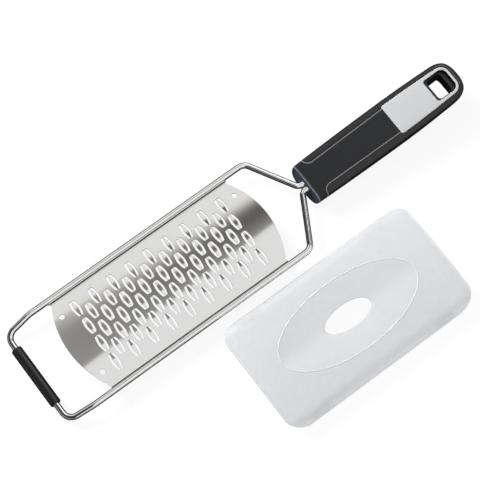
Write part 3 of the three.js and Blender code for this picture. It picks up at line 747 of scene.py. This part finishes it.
def grating_blade():
    """The arched sheet with its raised bridges, each face shaded as sheet or as bridge."""
    places = tooth_places()
    plan, faces = blade_plan(places)
    arch_centre = rail_z - BLADE_EDGE_DROP + BLADE_RISE - arch_radius
    z = arch_centre + np.sqrt(arch_radius ** 2 - plan[:, 1] ** 2)
    arch_slope = plan[:, 1] / (z - arch_centre)
    slope = arch_slope.copy()
    bridge = np.zeros(len(plan), bool)
    for x, y in places:
        along = plan[:, 1] - y
        s = along / tooth_half
        on_bridge = np.abs(plan[:, 0] - x) <= bridge_half(s) + BRIDGE_SLACK
        on_bridge &= np.abs(along) <= tooth_half + BRIDGE_SLACK
        z[on_bridge] += BRIDGE_RISE * (1 - s[on_bridge] ** 2)
        slope[on_bridge] += 2 * BRIDGE_RISE * s[on_bridge] / tooth_half
        bridge |= on_bridge
    normals = across_normals(slope)
    sheet_normals = across_normals(arch_slope)
    part = thick_sheet(np.column_stack([plan, z]), faces, BLADE_SHEET, BLADE_LIP, 1, normals)
    top_normals = []
    for face in faces:
        chosen = normals if bridge[list(face)].all() else sheet_normals
        top_normals += [chosen[corner] for corner in face]
    add_piece("grating_blade_sheet", part, steel_sheet, "grating_blade", top_normals)


def painted_rail_shade():
    """Painted shade: dark tubes between the blade's long edges and the rails, where the gap lies in shadow.
    """
    shade_tubes = []
    for side, radius, rise in ((-1, NEAR_SHADE_RADIUS, NEAR_SHADE_RISE), (1, FAR_SHADE_RADIUS, -FAR_SHADE_DROP)):
        y = side * (rail_y - WIRE_RADIUS)
        ends = [Vector((end * blade_corner, y, rail_z + rise)) for end in (-1, 1)]
        path = [ends[0].lerp(ends[1], k / ROUND_STEPS) for k in range(ROUND_STEPS + 1)]
        shade_tubes.append(swept_tube(path, radius, SHADE_LINE_SIDES))
    add_piece("rail_gap_painted_shade", join(*shade_tubes), painted_shade_steel, "grating_blade")


# Handle body

def handle_half(x):
    run = HANDLE_WIDEST if x < widest_x else handle_rear - widest_x
    end = HANDLE_FRONT_WIDTH if x < widest_x else HANDLE_REAR_WIDTH
    return (HANDLE_MIDDLE_WIDTH - (HANDLE_MIDDLE_WIDTH - end) * ((x - widest_x) / run) ** 2) / 2


def section(x, inset=0.0):
    """Half width, top, widest height and bottom of the handle at one place."""
    crest = HANDLE_FRONT_HEIGHT + HANDLE_TAIL_RISE * (x - handle_front) / (handle_rear - handle_front)
    base = HANDLE_TAIL_LIFT * (max(x - lift_x, 0) / (handle_rear - lift_x)) ** 2 - HANDLE_FLAT_DEPTH
    s = min(max(x - tail_x, 0) / HANDLE_END_ROUND, TAIL_TIP)
    left = max(HANDLE_EDGE_ROUND - (handle_rear - x), 0)
    inset = inset + HANDLE_EDGE_ROUND - math.sqrt(HANDLE_EDGE_ROUND ** 2 - left ** 2)
    half = (handle_half(x) - inset) * (1 - s ** TAIL_POWER) ** (1 / TAIL_POWER)
    top, bottom = crest - inset, base + inset
    return half, top, top - (top - bottom) * HANDLE_SHOULDER / (crest - base), bottom


def upper_z(x, y):
    half, top, waist, _ = section(x)
    share = min(abs(y) / half, 1)
    return waist + (top - waist) * (1 - share ** TOP_POWER) ** (1 / TOP_POWER)


def lower_z(x, y):
    half, _, waist, bottom = section(x)
    share = min(abs(y) / half, 1)
    return max(waist - (waist - bottom) * (1 - share ** UNDERSIDE_POWER) ** (1 / UNDERSIDE_POWER), 0)


def on_handle(x, y, height):
    """A point of the handle's skin, which leans back with height ahead of the grip."""
    z = height(x, y)
    share = min(max((grip_front - x) / GRIP_START, 0), 1)
    return x + NOSE_LEAN * z / HANDLE_FRONT_HEIGHT * share, y, z


def panel_half(x):
    share = (x - grip_front) / (panel_rear - grip_front)
    return PANEL_FRONT_HALF + (PANEL_REAR_HALF - PANEL_FRONT_HALF) * share


def panel_curl(offset, steps):
    """Plan line where the panel's edge comes in from the side, moved out by an offset."""
    start_y = handle_half(grip_front)
    t = np.linspace(0, 1, steps + 1)
    line = quadratic((grip_front, start_y), (grip_front, PANEL_FRONT_HALF),
                     (grip_front + GRIP_START_BEND, panel_half(grip_front + GRIP_START_BEND)), steps)
    along = np.stack([2 * t * GRIP_START_BEND, -2 * (1 - t) * (start_y - PANEL_FRONT_HALF)], axis=1)
    along[-1] = (1, 0)
    normal = np.stack([-along[:, 1], along[:, 0]], axis=1)
    return line + unit(normal) * offset


def panel_stations(rear, offset):
    """Plan points on the panel's edge: its curl and straight side."""
    curl = panel_curl(offset, BAND_STEPS)
    side = np.linspace(curl[-1][0], rear, SIDE_POINTS)[1:]
    return np.concatenate([curl, np.column_stack([side, panel_half(side) + offset])])


def inlay_half(x):
    return handle_half(x) - INLAY_SIDE_BAND


def hole_half():
    return inlay_half(hole_rear - HOLE_LENGTH / 2) - HOLE_SIDE_RIM


def hole_reach(x):
    """Half width of the hanging hole through the underside."""
    if not under_hole_front < x < under_hole_rear:
        return 0.0
    corner = max(UNDER_HOLE_ROUND - min(x - under_hole_front, under_hole_rear - x), 0)
    return hole_half() - COLLAR_SIDE_WALL - UNDER_HOLE_ROUND + math.sqrt(UNDER_HOLE_ROUND ** 2 - corner ** 2)


def top_panel(ring_stations):
    edge = panel_stations(seat_front, -SKIN_RIM)
    spread = eased(-math.pi / 2, math.pi / 2, SKIN_COLUMNS)
    return grid([[on_handle(x, y * v, upper_z) for v in spread] for x, y in [*ring_stations, *edge]])


def underside_panel(ring_stations):
    """The panel under the handle, in two halves round the hanging hole."""
    corner = arc(panel_round_x, panel_half(panel_rear) - PANEL_REAR_ROUND - SKIN_RIM, PANEL_REAR_ROUND,
                 90, 0, CORNER_STEPS)
    edge = np.concatenate([panel_stations(panel_round_x, -SKIN_RIM), corner[1:]])
    hole_ends = [under_hole_front + step for step in UNDER_HOLE_STEPS]
    hole_ends += [under_hole_rear - step for step in UNDER_HOLE_STEPS]
    stations = [*edge, *[(x, np.interp(x, *edge.T)) for x in hole_ends]]
    spread = eased(0, math.pi / 2, SKIN_COLUMNS // 2)
    rows = []
    for x, y in ring_stations + sorted(stations, key=lambda p: (p[0], -p[1])):
        start = hole_reach(x)
        rows.append([on_handle(x, -start - (y - start) * v, lower_z) for v in spread])
    half = grid(rows)
    return join(half, mirrored(half))


def handle_shell():
    """The dark body: a full ring at the nose, then panels above and below."""
    ring = np.linspace(handle_front + CAP_LENGTH + SEAM, grip_front, FEW_STEPS + 1)[:-1]
    ring_stations = [(x, handle_half(x)) for x in ring]
    part = weld(*join(top_panel(ring_stations), underside_panel(ring_stations)))
    add_piece("handle_shell_skin", thick_sheet(*part, SKIN, SKIN_RIM), matt_plastic, "handle_shell")


# Grip band

def ray_hit(pivot, angle, inside):
    """Where a ray from the pivot on the middle line leaves an area."""
    near, far = 0.0, RAY_REACH
    for _ in range(HALVINGS):
        middle = (near + far) / 2
        if inside(pivot + middle * math.cos(angle), middle * math.sin(angle)):
            near = middle
        else:
            far = middle
    return pivot + near * math.cos(angle), near * math.sin(angle)


def in_rounded(rear, half, radius):
    def inside(x, y):
        dx = x - (rear - radius)
        dy = abs(y) - (half(x) - radius)
        if dx > 0 and dy > 0:
            return dx * dx + dy * dy < radius * radius
        return x < rear and abs(y) < half(x)
    return inside


def grip_inner(x):
    """The band's inner edge beside the panel."""
    return panel_half(x) + groove_gap


def seat_half(x):
    """The band's inner edge beside the silver plate."""
    return inlay_half(x) + seam_gap


def grip_side():
    """Stations from the front curl to the silver plate."""
    curl = panel_curl(groove_gap, CURL_STEPS)[1:]
    side = np.linspace(curl[-1][0], seat_front - GRIP_SIDE_STOP, SIDE_POINTS)[1:]
    edge = [*curl, *zip(side, grip_inner(side))]
    return [((x, y), (x, handle_half(x)), (x, y)) for x, y in edge]


def grip_seat():
    """Stations round the plate's front corner and along its side."""
    radius = INLAY_FRONT_ROUND + seam_gap
    corner = arc(seat_front + radius, seat_half(seat_front + radius) - radius, radius, 180, 90, FEW_STEPS)
    corner = [(seat_front, grip_inner(seat_front)), *corner]
    spots = np.linspace(seat_front + GRIP_CORNER_START, seat_front + GRIP_CORNER_STOP, len(corner))
    stations = [(edge, (x, handle_half(x)), (x, grip_inner(x))) for edge, x in zip(corner, spots)]
    for x in np.linspace(seat_front + GRIP_REAR_START, grip_pivot, ROUND_STEPS)[:-1]:
        stations.append(((x, seat_half(x)), (x, section(x)[0]), (x, grip_inner(x))))
    return stations


def grip_tail():
    """Stations round the tail, as rays from one pivot."""
    seat = in_rounded(inlay_rear + seam_gap, seat_half, INLAY_REAR_ROUND + seam_gap)
    panel = in_rounded(panel_rear + groove_gap, grip_inner, PANEL_REAR_ROUND)
    body = (lambda x, y: x < handle_rear and abs(y) < section(x)[0])
    angles = np.radians(np.linspace(90, 0, GRIP_TAIL_POINTS))
    return [[ray_hit(grip_pivot, angle, area) for area in (seat, body, panel)] for angle in angles]


def handle_grip():
    """The glossy band round both sides and the tail."""
    spread = eased(0, math.pi / 2, BAND_STEPS)
    rows = []
    for station in grip_side() + grip_seat() + grip_tail():
        upper, outer, lower = np.array(station)
        over = [upper + (outer - upper) * f for f in spread]
        under = [lower + (outer - lower) * f for f in spread[::-1][1:]]
        rows.append([(x, y, upper_z(x, y)) for x, y in over] + [(x, y, lower_z(x, y)) for x, y in under])
    half = grid(rows)
    part = weld(*join(half, mirrored(half)))
    add_piece("handle_grip_band", thick_sheet(*part, SKIN, SKIN_RIM), gloss_rubber, "handle_grip")


def painted_groove_highlight():
    """A painted highlight: the light line in the groove between the panel and the grip, for the light its
    edges catch.
    """
    rows = []
    inner = panel_stations(inlay_front, -GROOVE_OVERLAP)
    outer = panel_stations(inlay_front, GROOVE_WIDTH + GROOVE_OVERLAP)
    for a, b in zip(inner, outer):
        rows.append([(*p, upper_z(*p) - GROOVE_DEPTH) for p in (a, (a + b) / 2, b)])
    half = grid(rows)
    part = thick_sheet(*join(half, mirrored(half)), GROOVE_FLOOR, GROOVE_LIP, 1)
    add_piece("handle_groove_painted_highlight", part, groove_highlight_plastic, "handle_core")


# Silver plate, hanging hole and nose

def oblong(front, rear, half, front_round, rear_round):
    """Plan of a rounded bar whose half width is a function of x."""
    front_x, rear_x = front + front_round, rear - rear_round
    side = np.linspace(front_x, rear_x, BAND_STEPS)[1:-1]
    front_arc = arc(front_x, half(front_x) - front_round, front_round, 180, 90, CORNER_STEPS)
    rear_arc = arc(rear_x, half(rear_x) - rear_round, rear_round, 90, 0, CORNER_STEPS)
    upper = np.concatenate([front_arc, np.stack([side, [half(x) for x in side]], axis=1), rear_arc])
    return np.concatenate([upper, upper[::-1] * (1, -1)])[::-1]


def hole_outline(front_in, side_in, rear_in):
    """Plan of the hanging hole, drawn in at its front, sides and rear."""
    rear_round = HOLE_REAR_ROUND - max(front_in, side_in, rear_in) / 2
    return oblong(hole_front + front_in, hole_rear - rear_in, lambda x: hole_half() - side_in,
                  HOLE_FRONT_ROUND, rear_round)


def handle_inlay():
    """The silver plate, open at the hanging hole."""
    outline = oblong(inlay_front + INLAY_RIM, inlay_rear - INLAY_RIM, lambda x: inlay_half(x) - INLAY_RIM,
                     INLAY_FRONT_ROUND - INLAY_RIM, INLAY_REAR_ROUND - INLAY_RIM)
    outline = spaced(outline, INLAY_EDGE_PITCH)
    hole = spaced(hole_outline(-INLAY_RIM, -INLAY_RIM, -INLAY_RIM), INLAY_HOLE_PITCH)
    plan, faces = fill_plan(outline, [hole], INLAY_GRID)
    points = np.array([(x, y, upper_z(x, y)) for x, y in plan])
    add_piece("handle_inlay_plate", thick_sheet(points, faces, INLAY_THICKNESS, INLAY_RIM),
              silver_paint, "handle_inlay")


def section_loop(x, inset):
    """The handle's outline across, which leans back with height."""
    half, top, waist, bottom = section(x, inset)
    loop = []
    for turn in full_turn(RING_SIDES):
        c, s = math.cos(turn), math.sin(turn)
        power = TOP_POWER if s > 0 else UNDERSIDE_POWER
        reach = top - waist if s > 0 else waist - bottom
        y = half * math.copysign(abs(c) ** (2 / power), c)
        z = max(waist + reach * math.copysign(abs(s) ** (2 / power), s), 0)
        loop.append((x + NOSE_LEAN * z / HANDLE_FRONT_HEIGHT, y, z))
    return loop


def handle_nose():
    """The end plate at the front, with a raised rim."""
    back = handle_front + CAP_LENGTH
    loops = [section_loop(back, 2 * NOSE_RIM), section_loop(back, 0)]
    for angle in np.linspace(0, math.pi / 2, NOSE_EDGE_STEPS + 1):
        loops.append(section_loop(handle_front + NOSE_EDGE * (1 - math.sin(angle)),
                                  NOSE_EDGE * (1 - math.cos(angle))))
    face = section_loop(handle_front + NOSE_RECESS, NOSE_RIM + NOSE_RIM_SLOPE)
    loops += [section_loop(handle_front, NOSE_RIM), face]
    middle = np.mean(face, axis=0)
    for share in NOSE_FACE_RINGS:
        loops.append([middle + (point - middle) * share for point in face])
    add_piece("handle_nose_plate", rings(loops[::-1], capped=True), nose_plastic, "handle_core")


def painted_nose_highlight():
    """A painted highlight: the light line along the end plate's upper edge, where its rounded edge catches
    the light.
    """
    loop = section_loop(handle_front + NOSE_LINE_INSET, NOSE_LINE_INSET)
    top = [Vector(point) for point in loop[NOSE_LINE_SKIP:len(loop) // 2 + 1 - NOSE_LINE_SKIP]]
    part = swept_tube(top, NOSE_LINE_RADIUS, FINE_LINE_SIDES)
    add_piece("handle_nose_painted_highlight", part, nose_highlight_plastic, "handle_core")


def hole_collar():
    """The lining of the hanging hole, down to the underside; its near-black colour is painted shade inside
    the hole.
    """
    outer = hole_outline(COLLAR_GAP, COLLAR_GAP, COLLAR_GAP)
    middle = outer[:, 0].mean()
    loops = []
    for outline in (outer, hole_outline(COLLAR_FRONT_WALL, COLLAR_SIDE_WALL, COLLAR_REAR_WALL)):
        inside = (lambda x, y: within(np.array([(x, y)]), outline)[0])
        plan = [ray_hit(middle, turn, inside) for turn in full_turn(COLLAR_SIDES)]
        loops.append([(x, y, lower_z(x, y) + COLLAR_GAP) for x, y in plan])
        loops.append([(x, y, core_high.z) for x, y in plan])
    order = [loops[k] for k in (0, 1, 3, 2, 0)]
    add_piece("hole_collar", weld(*rings(order)), shaded_collar_plastic, "handle_core")


# Blade guard

def guard_profile(s):
    """Place across the guard and height, at a distance over its skin from the middle."""
    crown = min(abs(s), crown_length) / GUARD_CROWN_RADIUS
    turn = crown + min(max(abs(s) - crown_length, 0), bend_length) / GUARD_SIDE_BEND
    arm = GUARD_CROWN_RADIUS - GUARD_SIDE_BEND
    y = arm * math.sin(crown) + GUARD_SIDE_BEND * math.sin(turn)
    z = guard_top - GUARD_CROWN_RADIUS + arm * math.cos(crown) + GUARD_SIDE_BEND * math.cos(turn)
    return math.copysign(y, s), z - max(abs(s) - crown_length - bend_length, 0)


def guard_point(x, s, sink):
    y, z = guard_profile(s)
    return x, y, z - sink


def guard_end(y):
    """Half length of the guard at a distance from its middle line."""
    over = max(abs(y) - (guard_half.y - GUARD_CORNER), 0)
    return guard_half.x - GUARD_CORNER + math.sqrt(max(GUARD_CORNER ** 2 - over ** 2, 0))


def dish_depth(x, y):
    """Depth of the finger dish: two slopes that meet in a soft valley."""
    left = 1 - (x / DISH_HALF_LENGTH) ** 2
    if left <= 0:
        return 0.0
    valley = math.sqrt(y * y + DISH_VALLEY ** 2)
    rim = math.sqrt(DISH_HALF_WIDTH ** 2 * left + DISH_VALLEY ** 2)
    return max(DISH_DEPTH * (rim - valley) / DISH_HALF_WIDTH, 0.0)


def guard_outline(reach):
    """The outline of the guard's skin laid flat."""
    across = np.linspace(-reach, reach, GUARD_EDGE_POINTS)
    ends = [guard_end(guard_profile(s)[0]) - GUARD_RIM for s in across]
    right = np.stack([ends, across], axis=1)
    return spaced(np.concatenate([right, right[::-1] * (-1, 1)]), GUARD_GRID)


def blade_guard():
    """The crowned cover with its dish, finger hole and turned-down sides."""
    side_end = crown_length + bend_length
    reach = side_end + guard_profile(side_end)[1] - GUARD_RIM
    outline = guard_outline(reach)
    dish = ellipse(DISH_HALF_LENGTH, DISH_HALF_WIDTH, DISH_STEPS)
    hole = ellipse(GUARD_HOLE_HALF_LENGTH + GUARD_RIM, GUARD_HOLE_HALF_WIDTH + GUARD_RIM, RING_SIDES)
    plan, faces = fill_plan(outline, [hole], GUARD_GRID, lines=[dish])
    points = np.array([guard_point(x, s, dish_depth(x, s)) for x, s in plan])
    part = thick_sheet(points, faces, GUARD_WALL, GUARD_RIM)
    add_piece("blade_guard_cover", part, guard_plastic, "blade_guard")


def dish_rim():
    """The fine raised line round the finger dish; its whiter plastic is a painted highlight on the ridge."""
    line = ellipse(DISH_HALF_LENGTH, DISH_HALF_WIDTH, DISH_RIM_STEPS)
    path = [Vector(guard_point(x, s, DISH_RIM_SINK)) for x, s in line]
    part = swept_tube(path, GUARD_LINE_RADIUS, FINE_LINE_SIDES, closed=True)
    add_piece("blade_guard_dish_rim", part, white_highlight_plastic, "blade_guard")


def guard_end_lines():
    """The fine raised line along each cut end of the guard; its whiter plastic is a painted highlight on the
    ridge.
    """
    reach = guard_half.y - GUARD_SIDE_BEND
    lines = []
    for end in (-1, 1):
        path = []
        for s in np.linspace(-reach, reach, END_LINE_POINTS):
            x = guard_end(guard_profile(s)[0]) - END_LINE_INSET
            path.append(Vector(guard_point(end * x, s, END_LINE_SINK)))
        lines.append(swept_tube(path, GUARD_LINE_RADIUS, FINE_LINE_SIDES))
    add_piece("blade_guard_end_lines", join(*lines), white_highlight_plastic, "blade_guard")


def hook_block(x, y):
    """One hook: a low block with rounded corners."""
    half_y = (HOOK_REACH + HOOK_ROOT) / 2
    bevel = HOOK_ROUND / 2
    loops = []
    for z, inset in ((0, bevel), (bevel, 0), (HOOK_THICKNESS - bevel, 0), (HOOK_THICKNESS, bevel)):
        reach_x = HOOK_LENGTH / 2 - inset - HOOK_ROUND
        reach_y = half_y - inset - HOOK_ROUND
        loop = []
        for side_x, side_y, start in ((1, 1, 0), (-1, 1, 90), (-1, -1, 180), (1, -1, 270)):
            loop += [(px, py, z) for px, py in arc(x + side_x * reach_x, y + side_y * reach_y, HOOK_ROUND,
                                                   start, start + 90, HOOK_CORNER_STEPS)]
        loops.append(loop)
    return rings(loops, capped=True)


def guard_hooks():
    """The four hooks inside the turned-down sides."""
    x = guard_half.x - HOOK_INSET
    y = guard_half.y - GUARD_WALL + (HOOK_ROOT - HOOK_REACH) / 2
    blocks = [hook_block(end * x, side * y) for end in (-1, 1) for side in (-1, 1)]
    add_piece("blade_guard_hooks", join(*blocks), guard_plastic, "blade_guard")


# Stage

def seen_by(tree, *rays):
    """One where any of these kinds of ray looks, zero elsewhere."""
    path = tree.nodes.new("ShaderNodeLightPath")
    seen = path.outputs[rays[0]]
    for ray in rays[1:]:
        seen = add_node(tree, "ShaderNodeMath", seen, path.outputs[ray])
        seen.node.operation = "MAXIMUM"
    return seen


def floor_material():
    """A pale floor that the camera sees as white where no shadow falls."""
    material, tree = new_material("studio_floor")
    tree.nodes.remove(tree.nodes["Principled BSDF"])
    matt = add_node(tree, "ShaderNodeBsdfDiffuse", FLOOR_TONE)
    pale = add_node(tree, "ShaderNodeBsdfDiffuse", FLOOR_SEEN_TONE)
    glow = add_node(tree, "ShaderNodeEmission", WHITE, FLOOR_GLOW)
    white = add_node(tree, "ShaderNodeAddShader", pale, glow)
    seen = seen_by(tree, "Is Camera Ray", "Is Glossy Ray", "Is Transmission Ray")
    show(tree, add_node(tree, "ShaderNodeMixShader", seen, matt, white))
    return material


def glow_material(name):
    """A card that shines with the tone written at each of its points."""
    material, tree = new_material(name)
    tree.nodes.remove(tree.nodes["Principled BSDF"])
    tone = add_node(tree, "ShaderNodeAttribute")
    tone.node.attribute_name = "tone"
    show(tree, add_node(tree, "ShaderNodeEmission", tone))
    return material


def stage_piece(name, points, faces, material):
    piece = new_object(name, new_mesh(name, points, faces, material))
    return piece


def studio_floor():
    corners = [(x * FLOOR_HALF, y * FLOOR_HALF, -FLOOR_DROP) for x, y in ((-1, -1), (1, -1), (1, 1), (-1, 1))]
    stage_piece("studio_floor", corners, [(0, 1, 2, 3)], floor_material())


def studio_card(name, points, faces, tones):
    """A card round the stage, seen only in reflections."""
    card = stage_piece(name, points, faces, glow_material(name))
    layer = card.data.attributes.new("tone", "FLOAT_COLOR", "POINT")
    for i, tone in enumerate(tones):
        layer.data[i].color = (*tone, 1)
    for way in ("visible_camera", "visible_diffuse", "visible_shadow", "visible_transmission"):
        setattr(card, way, False)


def overhead_flag():
    """The dark card over the blade, fading out at its far edge."""
    rows = []
    tones = []
    for share in np.linspace(0, 1, ROUND_STEPS + 1):
        row = []
        for along, levels in FLAG_COLUMNS:
            x, near, far = Vector(FLAG_FRONT).lerp(Vector(FLAG_REAR), along)
            row.append(grater + Vector((x, near + (far - near) * share, FLAG_HEIGHT)))
            level = float(np.interp(share, *zip(*levels)))
            tones.append([level * tint for tint in FLAG_TINT])
        rows.append(row)
    studio_card("studio_flag", *grid(rows), tones)


def flat_card(name, places, sides, heights, tone):
    """A plain card, from its lower edge to its upper one."""
    (low_x, high_x), (near, far), (low, high) = places, sides, heights
    corners = [(low_x, near, low), (low_x, far, low), (high_x, far, high), (high_x, near, high)]
    studio_card(name, corners, [(0, 1, 2, 3)], [tone] * len(corners))


def black_cloth():
    """A black card under the grater."""
    places = (wire_low.x - CLOTH_MARGIN, grip_high.x + CLOTH_MARGIN)
    sides = (wire_low.y - CLOTH_MARGIN, wire_high.y + CLOTH_MARGIN)
    flat_card("studio_cloth", places, sides, (CLOTH_HEIGHT, CLOTH_HEIGHT), CLOTH_TONE)


def sky():
    """Soft light all round; in reflections it fades to the horizon, the camera sees white."""
    world = bpy.data.worlds.new("studio_sky")
    scene.world = world
    world.use_nodes = True
    tree = world.node_tree
    tree.nodes.remove(tree.nodes["Background"])
    place = tree.nodes.new("ShaderNodeTexCoord").outputs["Generated"]
    height = add_node(tree, "ShaderNodeSeparateXYZ", place).node.outputs["Z"]
    soft = add_node(tree, "ShaderNodeBackground", WHITE, AMBIENT)
    shine = add_node(tree, "ShaderNodeBackground", ramp(tree, height, *SHINE_STOPS))
    lit = add_node(tree, "ShaderNodeMixShader", seen_by(tree, "Is Glossy Ray"), soft, shine)
    seen = seen_by(tree, "Is Camera Ray", "Is Transmission Ray")
    backdrop = add_node(tree, "ShaderNodeBackground", WHITE)
    show(tree, add_node(tree, "ShaderNodeMixShader", seen, lit, backdrop), "World Output")


def area_lamp(name, place, size, power):
    """A soft lamp aimed at the middle, kept out of reflections."""
    data = bpy.data.lights.new(name, "AREA")
    data.energy = power
    data.size = size
    lamp = new_object(name, data)
    lamp.location = place
    lamp.rotation_euler = (-Vector(place)).to_track_quat("-Z", "Y").to_euler()
    lamp.visible_glossy = False


def studio():
    studio_floor()
    overhead_flag()
    black_cloth()
    for name, card in STANDING_CARDS.items():
        flat_card(name, *card)
    sky()
    for name, lamp in LAMPS.items():
        area_lamp(name, *lamp)


def camera():
    data = bpy.data.cameras.new("photo_camera")
    data.lens = CAMERA_LENS
    eye = new_object("photo_camera", data)
    turn = Matrix.Rotation(CAMERA_AZIMUTH, 4, "Z") @ Matrix.Rotation(math.pi / 2 - CAMERA_ELEVATION, 4, "X")
    turn = turn @ Matrix.Rotation(CAMERA_ROLL, 4, "Z")
    target = Matrix.Translation(grater + Vector(CAMERA_TARGET))
    eye.matrix_world = target @ turn @ Matrix.Translation((0, 0, CAMERA_DISTANCE))
    scene.camera = eye


frame_wire()
front_sleeve()
grating_blade()
painted_rail_shade()
handle_shell()
handle_grip()
painted_groove_highlight()
handle_inlay()
handle_nose()
painted_nose_highlight()
hole_collar()
blade_guard()
dish_rim()
guard_end_lines()
guard_hooks()
studio()
camera()
scene.view_settings.view_transform = "Standard"
